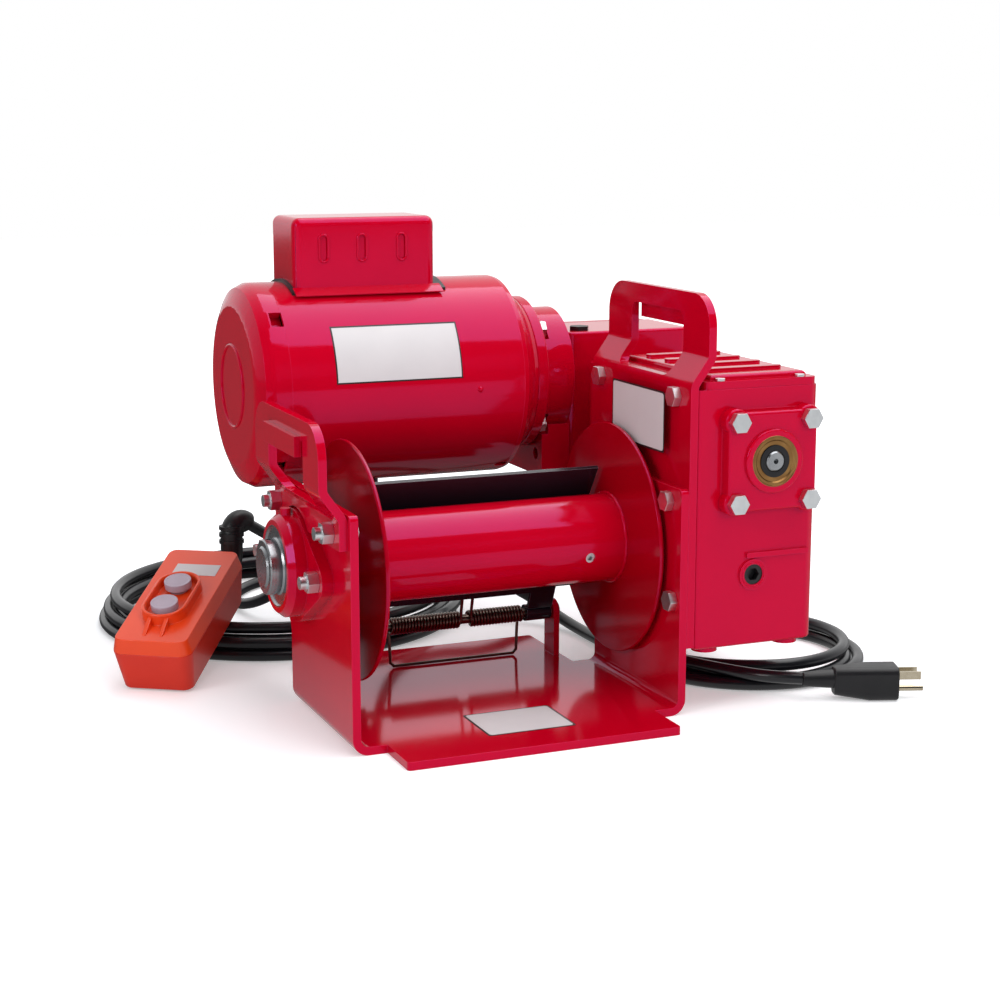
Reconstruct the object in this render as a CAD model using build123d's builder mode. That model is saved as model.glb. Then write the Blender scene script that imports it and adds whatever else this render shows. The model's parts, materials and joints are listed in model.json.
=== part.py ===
from build123d import *
import math
import os

os.makedirs("parts", exist_ok=True)

# An electric winch: a bent steel frame with a rope drum, a two-stage worm drive on its right
# side, a motor lying across the back, a two-button pendant and a mains cord with its plug.
# X runs along the drum to the right, Y goes to the back, Z is up, all in millimetres.
# The origin lies under the middle of the drum axis, on the underside of the base plate.

# Fits that several pieces share
RUN = 0.05
BOLT_PLAY = 0.3
SEAT_GAP = 0.3

# Frame: one plate bent into a U, with a tongue that sticks out at the front and the back
PLATE = 6.35
FRAME_WIDTH = 267.0
FRAME_FRONT = 111.5
FRAME_FOOT_REAR = 38.0
FRAME_SIDE_REAR = 76.0
FRAME_STEP_LOW = 62.0
FRAME_STEP_HIGH = 94.0
FRAME_ABOVE_AXIS = 57.0
BEND_INNER = 6.0
TONGUE_SET_IN = 26.0
TONGUE_FRONT = 155.0
TONGUE_REAR = 128.0
SIDE = FRAME_WIDTH / 2
TONGUE_WIDTH = FRAME_WIDTH - 2 * TONGUE_SET_IN

# Rope drum and its shaft
DRUM_FLOOR_ROOM = 26.0
BARREL_RADIUS = 35.0
BARREL_WALL = 6.0
FLANGE_RADIUS = 92.5
FLANGE_THICK = 3.4
DRUM_LEFT_ROOM = 30.15
DRUM_RIGHT_ROOM = 3.95
DRUM_HUB = 14.0
HUB_RADIUS = 23.0
SHAFT_RADIUS = 15.875
SHAFT_OVERHANG = 33.5
SHAFT_BORE_PLAY = 6.0
ANCHOR_SET_IN = 30.8
ANCHOR_DROP = 8.0
ANCHOR_RADIUS = 4.0
KEY_WIDTH = 8.0
KEY_HEIGHT = 7.0
DRUM_Z = FLANGE_RADIUS + DRUM_FLOOR_ROOM
DRUM_LEFT = -SIDE + PLATE + DRUM_LEFT_ROOM
DRUM_RIGHT = SIDE - PLATE - FLANGE_THICK - DRUM_RIGHT_ROOM
ANCHOR_X = DRUM_RIGHT - ANCHOR_SET_IN
SHAFT_LEFT = -SIDE - SHAFT_OVERHANG
FRAME_HEIGHT = DRUM_Z + FRAME_ABOVE_AXIS

# Flanged bearing on the left side
BEARING_BOLT_Y = 60.0
BEARING_FLANGE = 9.0
BEARING_BOSS_RADIUS = 39.0
BEARING_LOBE_RADIUS = 43.0
BEARING_NOTCH_GAP = 1.5
BEARING_BOSS_LENGTH = 23.0
INSERT_RADIUS = 31.0
INSERT_WIDTH = 16.0
COLLAR_RADIUS = 21.0

# Carrying handles: the plate is set out sideways above its foot, so that a hand clears the drum
HANDLE_BOLT_FRONT = 89.0
HANDLE_BOLT_REAR = 42.0
LEFT_HANDLE_REAR = 54.0
RIGHT_HANDLE_REAR = 60.0
HANDLE_SET_OUT = 14.5
HANDLE_SLOPE = 20.0
HANDLE_RISE = 67.0
HANDLE_CORNER = 25.0
HAND_HOLE_FRONT = 70.0
HAND_HOLE_REAR = 18.0
GRIP_BAR = 15.0
GRIP_LIP = 12.0
GRIP_LIP_OUT = 5.0
LEFT_BEND_DROP = 3.5
LEFT_FOOT = 22.0
LEFT_BOLT_DROP = 15.0
RIGHT_BEND_RISE = 3.5
RIGHT_FOOT = 201.0
RIGHT_BOLT_DROP = 6.5
HAND_HOLE_CORNER = 8.0
HANDLE_BEND = 10.0
LEFT_BEND_Z = FRAME_HEIGHT - LEFT_BEND_DROP
LEFT_BOLT_Z = FRAME_HEIGHT - LEFT_BOLT_DROP

# Fasteners
BOLT_RADIUS = 4.76
BOLT_FLATS = 14.3
BOLT_HEAD = 6.2
NUT_THICK = 8.3
STUD_END = 5.0

# Second gear stage: the housing on the right side, with the worm over the wheel
GEAR_WIDTH = 104.65
GEAR_FRONT = 112.0
GEAR_REAR = 80.0
GEAR_BELOW_AXIS = 68.5
GEAR_ABOVE_WORM = 54.8
GEAR_WALL = 8.0
GEAR_SIDE_WALL = 10.0
GEAR_CORNER = 9.0
GEAR_FOOT_PAD = 4.0
STAGE_TWO_CENTRES = 76.2
WORM_SET_IN = 59.15
WORM_TWO_RADIUS = 16.0
WORM_TWO_LENGTH = 68.0
MESH_GAP = 0.3
WHEEL_TWO_WIDTH = 24.0
WHEEL_TWO_TEETH = 40
WHEEL_HUB_RADIUS = 26.0
WHEEL_BEARING_RADIUS = 31.0
WHEEL_BEARING_WIDTH = 16.0
CROSS_RADIUS = 10.0
CROSS_END_RADIUS = 7.6
WORM_BEARING_RADIUS = 23.5
WORM_BEARING_WIDTH = 14.0
COVER_SIZE = 82.0
COVER_THICK = 13.0
COVER_BOLT = 31.0
SEAL_RADIUS = 19.5
SEAL_WIDTH = 6.0
TOP_COVER_REAR = 45.0
TOP_COVER_THICK = 6.0
TOP_COVER_SET_IN = 6.0
TOP_PANEL_HEIGHT = 4.0
TOP_RIB_HEIGHT = 2.5
GEAR_ROOF = 8.0
PLUG_SET_IN = 49.15
PLUG_DROP = 12.8
PLUG_RADIUS = 8.0
FRONT_BAR_Z = 0.5
FRONT_BAR = 4.0
GEAR_LEFT = SIDE + PLATE
GEAR_RIGHT = GEAR_LEFT + GEAR_WIDTH
WORM_X = GEAR_LEFT + WORM_SET_IN
WORM_Z = DRUM_Z + STAGE_TWO_CENTRES
GEAR_BOTTOM = DRUM_Z - GEAR_BELOW_AXIS
GEAR_TOP = WORM_Z + GEAR_ABOVE_WORM
PLUG_X = GEAR_LEFT + PLUG_SET_IN
PLUG_Z = DRUM_Z - PLUG_DROP
RIGHT_BEND_Z = GEAR_TOP + RIGHT_BEND_RISE
RIGHT_BOLT_Z = GEAR_TOP - RIGHT_BOLT_DROP

# First gear stage: the smaller box behind, with the motor's worm over the wheel
STAGE_ONE_CENTRES = 42.0
MOTOR_FRONT = 56.5
BOX_OVERHANG = 10.85
BOX_HALF_DEPTH = 38.0
BOX_BELOW_MOTOR = 84.7
BOX_ABOVE_MOTOR = 35.3
BOX_WALL = 10.0
BOX_CORNER = 8.0
NECK_RADIUS = 40.0
BOX_COVER_THICK = 8.0
WORM_ONE_RADIUS = 13.5
WORM_ONE_LENGTH = 44.0
WHEEL_ONE_WIDTH = 22.0
WHEEL_ONE_TEETH = 30
SMALL_BEARING_RADIUS = 15.0
SMALL_BEARING_WIDTH = 9.0
VENT_SET_IN = 18.0

# Motor
SHELL_RADIUS = 82.5
SHELL_WALL = 3.0
SHELL_LENGTH = 195.0
REAR_BELL_LENGTH = 26.0
FRONT_BELL_LENGTH = 20.0
NOSE_SET_IN = 18.5
ADAPTER_LENGTH = 37.0
ADAPTER_FLANGE = 10.0
ADAPTER_SET_IN = 10.0
MOTOR_SHAFT_RADIUS = 7.95
MOTOR_BEARING_RADIUS = 17.5
MOTOR_BEARING_WIDTH = 11.0
STATOR_DEPTH = 34.5
AIR_GAP = 0.5
STATOR_SET_IN = 50.0
FAN_PLAY = 22.5
FAN_HUB_RADIUS = 16.0
FAN_DEPTH = 14.0
MOTOR_Y = MOTOR_FRONT + SHELL_RADIUS
MOTOR_Z = WORM_Z + STAGE_ONE_CENTRES
BOX_LEFT = GEAR_LEFT - BOX_OVERHANG
BOX_BOTTOM = MOTOR_Z - BOX_BELOW_MOTOR
BOX_TOP = MOTOR_Z + BOX_ABOVE_MOTOR
VENT_X = BOX_LEFT + VENT_SET_IN
BELL_RIGHT = BOX_LEFT - ADAPTER_LENGTH
SHELL_RIGHT = BELL_RIGHT - FRONT_BELL_LENGTH
SHELL_LEFT = SHELL_RIGHT - SHELL_LENGTH
BELL_LEFT = SHELL_LEFT - REAR_BELL_LENGTH
BELL_NOSE_RADIUS = SHELL_RADIUS - NOSE_SET_IN
ADAPTER_RADIUS = BELL_NOSE_RADIUS - ADAPTER_SET_IN
STATOR_BORE = SHELL_RADIUS - SHELL_WALL - STATOR_DEPTH
STATOR_LEFT = SHELL_LEFT + STATOR_SET_IN
STATOR_RIGHT = SHELL_RIGHT - STATOR_SET_IN
FAN_RADIUS = SHELL_RADIUS - FAN_PLAY

# Capacitor cover on the motor and the terminal box behind it
CAP_SET_IN = 18.0
CAP_LENGTH = 119.0
CAP_HALF_DEPTH = 32.0
CAP_RISE = 51.8
CAP_SKIN = 2.0
CAP_ROOF = 5.0
PAD_THICK = 2.2
CAN_PLAY = 8.3
TERMINAL_SET_IN = 63.0
TERMINAL_LENGTH = 80.0
TERMINAL_DEPTH = 32.5
TERMINAL_DROP = 36.7
TERMINAL_RISE = 35.3
TERMINAL_SKIN = 3.0
GLAND_SET_IN = 15.0
GLAND_END_ROOM = 18.0
GLAND_LENGTH = 18.0
GLAND_NUT = 6.0
GLAND_NUT_FLATS = 19.0
GLAND_RADIUS = 7.5
CAP_LEFT = SHELL_LEFT + CAP_SET_IN
CAP_RIGHT = CAP_LEFT + CAP_LENGTH
CAP_TOP = MOTOR_Z + SHELL_RADIUS + CAP_RISE
CAPACITOR_RADIUS = (CAP_RISE - PAD_THICK - CAP_ROOF - SEAT_GAP - CAN_PLAY) / 2
TERMINAL_LEFT = SHELL_LEFT + TERMINAL_SET_IN
TERMINAL_RIGHT = TERMINAL_LEFT + TERMINAL_LENGTH
TERMINAL_REAR = MOTOR_Y + SHELL_RADIUS + TERMINAL_DEPTH
TERMINAL_LOW = MOTOR_Z - TERMINAL_DROP
TERMINAL_HIGH = MOTOR_Z + TERMINAL_RISE
GLAND_Y = TERMINAL_REAR - GLAND_SET_IN
CONTROL_GLAND_X = TERMINAL_LEFT + GLAND_END_ROOM
POWER_GLAND_X = TERMINAL_RIGHT - GLAND_END_ROOM

# Rope pressure plate on a sprung pivot behind the drum
PIVOT_Y = 70.0
PIVOT_Z = 43.0
PIVOT_RADIUS = 4.0
PRESS_SKIN = 3.0
PRESS_PLAY = 2.9
PRESS_BEND = 14.0
PRESS_POINTS = ((13.0, 55.0), (32.5, 26.5), (39.6, -6.5), (50.0, -38.5))
KNUCKLE_RADIUS = 7.0
KNUCKLE_LENGTH = 22.0
EAR_THICK = 5.0
EAR_RADIUS = 10.0
EAR_GAP = 1.0
SPRING_RADIUS = 7.2
SPRING_WIRE = 1.3
LEFT_SPRING_ROOM = 22.0
RIGHT_SPRING_ROOM = 3.0
SPRING_PART = 4.5
SPRING_PART_OFF = 16.0
EAR_SET_IN = 2.5
PRESS_LEFT = DRUM_LEFT + PRESS_PLAY
PRESS_RIGHT = DRUM_RIGHT - PRESS_PLAY

# Pendant, lying on the floor with its far end on the coiled cord
PENDANT_CORNER = (-228.0, 102.0, 0.3)
PENDANT_TURN = 33.0
PENDANT_TILT = 17.0
PENDANT_LENGTH = 151.0
PENDANT_WIDTH = 66.0
PENDANT_SPLIT = 34.0
PENDANT_HEIGHT = 46.0
PENDANT_WALL = 3.0
COLLAR_HEIGHT = 8.0
COLLAR_WIDTH = 38.0
BUTTON_RADIUS = 11.0
BUTTON_PLACES = (45.0, 79.0)
BUTTON_PROUD = 3.5
BUTTON_STEM = 7.0
BUTTON_PLAY = 0.4
BOOT_RADIUS = 9.5
BOOT_SIDE = -15.0
BOOT_LOW = 24.0
BOOT_REACH = 18.0
BOOT_RISE = 42.0
BOOT_LEAN = 72.0
BOOT_TIP_REACH = 20.0
BOOT_TIP_WAY = (0.72, 0.42, -0.5)
BOOT_BENDS = (14.0, 10.5)

# Cords, their coils and the plug
CORD_RADIUS = 5.0
CONTROL_COIL_CENTRE = (-64.0, 303.0)
CONTROL_COIL_OUTER = 168.0
CONTROL_COIL_INNER = 143.0
CONTROL_COIL_HEIGHT = 26.5
POWER_COIL_CENTRE = (256.0, 10.0)
POWER_COIL_OUTER = 98.0
POWER_COIL_INNER = 78.0
POWER_COIL_HEIGHT = 20.0
PLUG_START = (260.5, -118.0, 16.0)
PLUG_TURN = -20.0
PLUG_TAIL = 22.0
PLUG_LENGTH = 50.0
PLUG_TALL = 27.0
PLUG_DEEP = 26.0
PLUG_FLOOR = 0.3
BLADE_LENGTH = 18.0
BLADE_WIDTH = 6.35
BLADE_THICK = 1.5
BLADE_SPREAD = 12.7
EARTH_LENGTH = 21.4
EARTH_RADIUS = 2.4
EARTH_DROP = 11.9


def block(x, y, z, mode=Mode.ADD):
    """Add or cut a block between two values on each axis."""
    with Locations(((x[0] + x[1]) / 2, (y[0] + y[1]) / 2, (z[0] + z[1]) / 2)):
        Box(x[1] - x[0], y[1] - y[0], z[1] - z[0], mode=mode)


def round_x(x, y, z, radius, mode=Mode.ADD):
    """Add or cut a cylinder along X, from x[0] to x[1]."""
    with Locations(Plane((x[0], y, z), x_dir=(0, 1, 0), z_dir=(1, 0, 0))):
        Cylinder(radius, x[1] - x[0], align=(Align.CENTER, Align.CENTER, Align.MIN), mode=mode)


def round_y(x, y, z, radius, mode=Mode.ADD):
    """Add or cut a cylinder along Y, from y[0] to y[1]."""
    with Locations(Plane((x, y[0], z), x_dir=(1, 0, 0), z_dir=(0, 1, 0))):
        Cylinder(radius, y[1] - y[0], align=(Align.CENTER, Align.CENTER, Align.MIN), mode=mode)


def round_z(x, y, z, radius, mode=Mode.ADD):
    """Add or cut a cylinder along Z, from z[0] to z[1]."""
    with Locations((x, y, z[0])):
        Cylinder(radius, z[1] - z[0], align=(Align.CENTER, Align.CENTER, Align.MIN), mode=mode)


def turned_x(points, y, z, mode=Mode.ADD):
    """Turn a profile of (x, radius) points about an axis along X."""
    with BuildSketch(Plane((0, y, z), x_dir=(1, 0, 0), z_dir=(0, -1, 0))) as profile:
        with BuildLine():
            Polyline(*points, close=True)
        make_face()
    revolve(profile.sketch, axis=Axis((0, y, z), (1, 0, 0)), mode=mode)


def turned_y(points, x, z, mode=Mode.ADD):
    """Turn a profile of (y, radius) points about an axis along Y."""
    with BuildSketch(Plane((x, 0, z), x_dir=(0, 1, 0), z_dir=(1, 0, 0))) as profile:
        with BuildLine():
            Polyline(*points, close=True)
        make_face()
    revolve(profile.sketch, axis=Axis((x, 0, z), (0, 1, 0)), mode=mode)


def hex_prism(spot, flats, height):
    """Add a hexagon that stands on a plane, for a bolt head or a nut."""
    with BuildSketch(spot) as outline:
        RegularPolygon(flats / 2, 6, major_radius=False)
    extrude(outline.sketch, amount=height)


def hex_bolt(spot, reach, radius=BOLT_RADIUS, flats=BOLT_FLATS, head=BOLT_HEAD):
    """Add a bolt whose head stands on a plane and whose shank goes through it."""
    hex_prism(spot, flats, head)
    with Locations(spot):
        Cylinder(radius, reach, align=(Align.CENTER, Align.CENTER, Align.MAX))


def facing_left(x, y, z):
    """A plane that looks along -X."""
    return Plane((x, y, z), x_dir=(0, -1, 0), z_dir=(-1, 0, 0))


def facing_front(x, y, z):
    """A plane that looks along -Y."""
    return Plane((x, y, z), x_dir=(1, 0, 0), z_dir=(0, -1, 0))


def save(piece, name):
    """Label a finished piece and write its file."""
    piece.part.label = name
    export_step(piece.part, f"parts/{name}.step")


# Places that follow from the driving dimensions
HANDLE_OUTER = SIDE + PLATE
HANDLE_BOLT_SPOTS = (-HANDLE_BOLT_FRONT, HANDLE_BOLT_REAR)
GEAR_BOLT_SPOTS = ((-92.0, DRUM_Z + 45.5), (-100.0, DRUM_Z - 30.5))
FLUSH_SCREW_SPOTS = ((58.0, DRUM_Z + 41.5), (58.0, DRUM_Z - 26.5))
PLATES_INNER = SIDE - PLATE
GEAR_BOLT_END = HANDLE_OUTER + 6.0
EAR_SPOTS = (PRESS_LEFT + EAR_SET_IN, TONGUE_WIDTH / 2 - EAR_SET_IN - EAR_THICK)
KNUCKLE_SPOTS = (EAR_SPOTS[0] + EAR_THICK + EAR_GAP, EAR_SPOTS[1] - EAR_GAP - KNUCKLE_LENGTH)
SPRING_MIDDLE = (KNUCKLE_SPOTS[0] + KNUCKLE_LENGTH + KNUCKLE_SPOTS[1]) / 2 + SPRING_PART_OFF
LEFT_SPRING = (KNUCKLE_SPOTS[0] + KNUCKLE_LENGTH + LEFT_SPRING_ROOM, SPRING_MIDDLE - SPRING_PART)
RIGHT_SPRING = (SPRING_MIDDLE + SPRING_PART, KNUCKLE_SPOTS[1] - RIGHT_SPRING_ROOM)
CROSS_FRONT = -GEAR_FRONT - COVER_THICK - 1.0
BOX_FRONT = MOTOR_Y - BOX_HALF_DEPTH
BOX_REAR = MOTOR_Y + BOX_HALF_DEPTH
MOTOR_AXIS = (MOTOR_Y, MOTOR_Z)


def flush_screw(y, z, play, mode=Mode.ADD):
    """Add or cut a screw with a sunk head, put in from inside the frame's right plate."""
    turned_x(
        (
            (PLATES_INNER, 0),
            (PLATES_INNER, 2 * BOLT_RADIUS + play),
            (PLATES_INNER + BOLT_RADIUS, BOLT_RADIUS + play),
            (GEAR_BOLT_END + play, BOLT_RADIUS + play),
            (GEAR_BOLT_END + play, 0),
        ),
        y,
        z,
        mode,
    )


# Frame
with BuildPart() as u_frame:
    with BuildSketch(Plane.XZ.offset(-FRAME_SIDE_REAR)) as outside:
        Rectangle(FRAME_WIDTH, FRAME_HEIGHT, align=(Align.CENTER, Align.MIN))
        fillet(outside.vertices().group_by(Axis.Y)[0], BEND_INNER + PLATE)
    extrude(amount=FRAME_SIDE_REAR + FRAME_FRONT)
    with BuildSketch(Plane.XZ.offset(-FRAME_SIDE_REAR)) as inside:
        with Locations((0, PLATE)):
            Rectangle(FRAME_WIDTH - 2 * PLATE, FRAME_HEIGHT, align=(Align.CENTER, Align.MIN))
        fillet(inside.vertices().group_by(Axis.Y)[0], BEND_INNER)
    extrude(amount=FRAME_SIDE_REAR + FRAME_FRONT, mode=Mode.SUBTRACT)
    with BuildSketch(Plane.YZ) as rear_corner:
        with BuildLine():
            Polyline(
                (FRAME_FOOT_REAR, -1),
                (FRAME_FOOT_REAR, FRAME_STEP_LOW),
                (FRAME_SIDE_REAR, FRAME_STEP_HIGH),
                (FRAME_SIDE_REAR + 1, FRAME_STEP_HIGH),
                (FRAME_SIDE_REAR + 1, -1),
                close=True,
            )
        make_face()
        fillet(rear_corner.vertices().sort_by_distance((FRAME_FOOT_REAR, FRAME_STEP_LOW, 0))[0], 14)
    extrude(amount=FRAME_WIDTH, both=True, mode=Mode.SUBTRACT)
    block((-TONGUE_WIDTH / 2, TONGUE_WIDTH / 2), (-TONGUE_FRONT, TONGUE_REAR), (0, PLATE))
    fillet(u_frame.edges().filter_by(Axis.Z).group_by(Axis.Y)[0], 3)
    fillet(u_frame.edges().filter_by(Axis.Z).group_by(Axis.Y)[-1], 3)
    fillet(u_frame.edges().filter_by(Axis.X).group_by(Axis.Z)[-1].group_by(Axis.Y)[0], 4)
    fillet(u_frame.edges().filter_by(Axis.X).group_by(Axis.Z)[-1].group_by(Axis.Y)[-1], 12)
    for ear_x in EAR_SPOTS:
        block((ear_x, ear_x + EAR_THICK), (PIVOT_Y - EAR_RADIUS, PIVOT_Y + EAR_RADIUS), (PLATE, PIVOT_Z))
        round_x((ear_x, ear_x + EAR_THICK), PIVOT_Y, PIVOT_Z, EAR_RADIUS)
    round_x((EAR_SPOTS[0] - 1, EAR_SPOTS[1] + EAR_THICK + 1), PIVOT_Y, PIVOT_Z, PIVOT_RADIUS, Mode.SUBTRACT)
    round_x((-SIDE - 1, SIDE + 1), 0, DRUM_Z, SHAFT_RADIUS + SHAFT_BORE_PLAY, Mode.SUBTRACT)
    for bolt_y in (-BEARING_BOLT_Y, BEARING_BOLT_Y):
        round_x((-SIDE - 1, 0), bolt_y, DRUM_Z, BOLT_RADIUS + BOLT_PLAY, Mode.SUBTRACT)
    for bolt_y in HANDLE_BOLT_SPOTS:
        round_x((-SIDE - 1, 0), bolt_y, LEFT_BOLT_Z, BOLT_RADIUS + BOLT_PLAY, Mode.SUBTRACT)
    for bolt_y, bolt_z in GEAR_BOLT_SPOTS:
        round_x((0, SIDE + 1), bolt_y, bolt_z, BOLT_RADIUS + BOLT_PLAY, Mode.SUBTRACT)
    for bolt_y, bolt_z in FLUSH_SCREW_SPOTS:
        flush_screw(bolt_y, bolt_z, BOLT_PLAY, Mode.SUBTRACT)
save(u_frame, "u_frame")


def handle(side, bend_z, foot, front, rear):
    """Shape a carrying handle: side is -1 for left and 1 for right of the frame."""
    middle = SIDE + PLATE / 2
    top = bend_z + HANDLE_RISE
    with BuildSketch(Plane.XZ.offset(-rear)) as profile:
        with BuildLine():
            FilletPolyline(
                (side * middle, bend_z - foot),
                (side * middle, bend_z),
                (side * (middle + HANDLE_SET_OUT), bend_z + HANDLE_SLOPE),
                (side * (middle + HANDLE_SET_OUT), top),
                radius=HANDLE_BEND,
            )
        trace(line_width=PLATE)
    extrude(profile.sketch, amount=rear + front)
    hole_top = top - GRIP_BAR
    with BuildSketch(Plane.YZ) as hand_hole:
        with Locations(((HAND_HOLE_REAR - HAND_HOLE_FRONT) / 2, (bend_z + 3 + hole_top) / 2)):
            RectangleRounded(HAND_HOLE_REAR + HAND_HOLE_FRONT, hole_top - bend_z - 3, HAND_HOLE_CORNER)
    extrude(hand_hole.sketch, amount=side * FRAME_WIDTH, mode=Mode.SUBTRACT)
    grip_face = HANDLE_OUTER + HANDLE_SET_OUT
    lip = sorted((side * (middle + HANDLE_SET_OUT), side * (grip_face + GRIP_LIP_OUT)))
    lip_high = hole_top + 3
    block(lip, (4 - HAND_HOLE_FRONT, HAND_HOLE_REAR - 4), (hole_top - GRIP_LIP, lip_high))
    hollow = sorted((side * (middle + HANDLE_SET_OUT - 1), side * grip_face))
    block(hollow, (-HAND_HOLE_FRONT, HAND_HOLE_REAR), (hole_top - GRIP_LIP - 1, hole_top), Mode.SUBTRACT)


# Carrying handles
with BuildPart() as left_handle:
    handle(-1, LEFT_BEND_Z, LEFT_FOOT, FRAME_FRONT - 5, LEFT_HANDLE_REAR)
    fillet(left_handle.edges().filter_by(Axis.X).group_by(Axis.Z)[-1], HANDLE_CORNER)
    for bolt_y in HANDLE_BOLT_SPOTS:
        round_x((-HANDLE_OUTER - 1, -SIDE + 1), bolt_y, LEFT_BOLT_Z, BOLT_RADIUS + BOLT_PLAY, Mode.SUBTRACT)
    round_x((-HANDLE_OUTER - 1, -SIDE + 1), 0, DRUM_Z, BEARING_LOBE_RADIUS + BEARING_NOTCH_GAP, Mode.SUBTRACT)
save(left_handle, "left_handle")

with BuildPart() as right_handle:
    handle(1, RIGHT_BEND_Z, RIGHT_FOOT, FRAME_FRONT, RIGHT_HANDLE_REAR)
    fillet(right_handle.edges().filter_by(Axis.X).group_by(Axis.Z)[-1], HANDLE_CORNER)
    round_x((SIDE - 1, HANDLE_OUTER + 1), 0, DRUM_Z, SHAFT_RADIUS + SHAFT_BORE_PLAY, Mode.SUBTRACT)
    for bolt_y in HANDLE_BOLT_SPOTS:
        round_x((SIDE - 1, HANDLE_OUTER + 1), bolt_y, RIGHT_BOLT_Z, BOLT_RADIUS + BOLT_PLAY, Mode.SUBTRACT)
    for bolt_y, bolt_z in GEAR_BOLT_SPOTS:
        round_x((SIDE - 1, HANDLE_OUTER + 1), bolt_y, bolt_z, BOLT_RADIUS + BOLT_PLAY, Mode.SUBTRACT)
    for bolt_y, bolt_z in FLUSH_SCREW_SPOTS:
        flush_screw(bolt_y, bolt_z, BOLT_PLAY, Mode.SUBTRACT)
save(right_handle, "right_handle")

with BuildPart() as handle_bolts:
    for bolt_y in HANDLE_BOLT_SPOTS:
        hex_bolt(facing_left(SIDE, bolt_y, RIGHT_BOLT_Z), PLATE + 6)
        nut_face = facing_left(-HANDLE_OUTER, bolt_y, LEFT_BOLT_Z)
        hex_bolt(nut_face, 2 * PLATE, head=NUT_THICK)
        round_x((-HANDLE_OUTER - NUT_THICK - STUD_END, -HANDLE_OUTER), bolt_y, LEFT_BOLT_Z, BOLT_RADIUS)
        hex_prism(facing_left(-SIDE + PLATE + 5.5, bolt_y, LEFT_BOLT_Z), BOLT_FLATS, 5.5)
save(handle_bolts, "handle_bolts")

with BuildPart() as gearbox_bolts:
    for bolt_y, bolt_z in GEAR_BOLT_SPOTS:
        hex_bolt(facing_left(PLATES_INNER, bolt_y, bolt_z), GEAR_BOLT_END - PLATES_INNER)
    for bolt_y, bolt_z in FLUSH_SCREW_SPOTS:
        flush_screw(bolt_y, bolt_z, 0)
save(gearbox_bolts, "gearbox_bolts")

# Rope drum: a tube between two welded flanges, on a shaft that also carries the second wheel
with BuildPart() as drum_barrel:
    round_x((DRUM_LEFT, DRUM_RIGHT), 0, DRUM_Z, BARREL_RADIUS)
    round_x((DRUM_LEFT, DRUM_RIGHT), 0, DRUM_Z, BARREL_RADIUS - BARREL_WALL, Mode.SUBTRACT)
    round_y(ANCHOR_X, (-BARREL_RADIUS - 1, 0), DRUM_Z - ANCHOR_DROP, ANCHOR_RADIUS, Mode.SUBTRACT)
save(drum_barrel, "drum_barrel")

with BuildPart() as left_flange:
    turned_x(
        (
            (DRUM_LEFT - FLANGE_THICK, SHAFT_RADIUS),
            (DRUM_LEFT - FLANGE_THICK - DRUM_HUB, SHAFT_RADIUS),
            (DRUM_LEFT - FLANGE_THICK - DRUM_HUB, HUB_RADIUS),
            (DRUM_LEFT - FLANGE_THICK, HUB_RADIUS),
            (DRUM_LEFT - FLANGE_THICK, FLANGE_RADIUS - 0.6),
            (DRUM_LEFT - FLANGE_THICK / 2, FLANGE_RADIUS),
            (DRUM_LEFT, FLANGE_RADIUS - 0.6),
            (DRUM_LEFT, SHAFT_RADIUS),
        ),
        0,
        DRUM_Z,
    )
save(left_flange, "left_flange")

with BuildPart() as right_flange:
    turned_x(
        (
            (DRUM_RIGHT, SHAFT_RADIUS),
            (DRUM_RIGHT, FLANGE_RADIUS - 0.6),
            (DRUM_RIGHT + FLANGE_THICK / 2, FLANGE_RADIUS),
            (DRUM_RIGHT + FLANGE_THICK, FLANGE_RADIUS - 0.6),
            (DRUM_RIGHT + FLANGE_THICK, SHAFT_RADIUS),
        ),
        0,
        DRUM_Z,
    )
save(right_flange, "right_flange")

with BuildPart() as rope_anchor_screw:
    round_y(ANCHOR_X, (-BARREL_RADIUS + 2.5, -BARREL_RADIUS + 10), DRUM_Z - ANCHOR_DROP, ANCHOR_RADIUS)
    with BuildSketch(facing_front(ANCHOR_X, -BARREL_RADIUS + 2.5, DRUM_Z - ANCHOR_DROP)):
        RegularPolygon(2.2, 6, major_radius=False)
    extrude(amount=-3, mode=Mode.SUBTRACT)
save(rope_anchor_screw, "rope_anchor_screw")

WHEEL_BEARING_LEFT = GEAR_LEFT + 4
WHEEL_BEARING_RIGHT = GEAR_RIGHT - 6 - WHEEL_BEARING_WIDTH
SHAFT_RIGHT = WHEEL_BEARING_RIGHT + WHEEL_BEARING_WIDTH - 1
WHEEL_TWO_RADIUS = STAGE_TWO_CENTRES - WORM_TWO_RADIUS - MESH_GAP
WHEEL_LEFT = WORM_X - WHEEL_TWO_WIDTH / 2
WHEEL_RIGHT = WORM_X + WHEEL_TWO_WIDTH / 2
KEY_TOP = SHAFT_RADIUS + 3.2

with BuildPart() as drum_shaft:
    round_x((SHAFT_LEFT, SHAFT_RIGHT), 0, DRUM_Z, SHAFT_RADIUS)
    chamfer(drum_shaft.edges().filter_by(GeomType.CIRCLE), 1.5)
    block((WHEEL_LEFT, WHEEL_RIGHT), (-KEY_WIDTH / 2, KEY_WIDTH / 2),
          (DRUM_Z + KEY_TOP - KEY_HEIGHT, DRUM_Z + SHAFT_RADIUS + 1), Mode.SUBTRACT)
save(drum_shaft, "drum_shaft")

with BuildPart() as wheel_key:
    block((WHEEL_LEFT, WHEEL_RIGHT), (-KEY_WIDTH / 2, KEY_WIDTH / 2),
          (DRUM_Z + KEY_TOP - KEY_HEIGHT, DRUM_Z + KEY_TOP))
save(wheel_key, "wheel_key")

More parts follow.
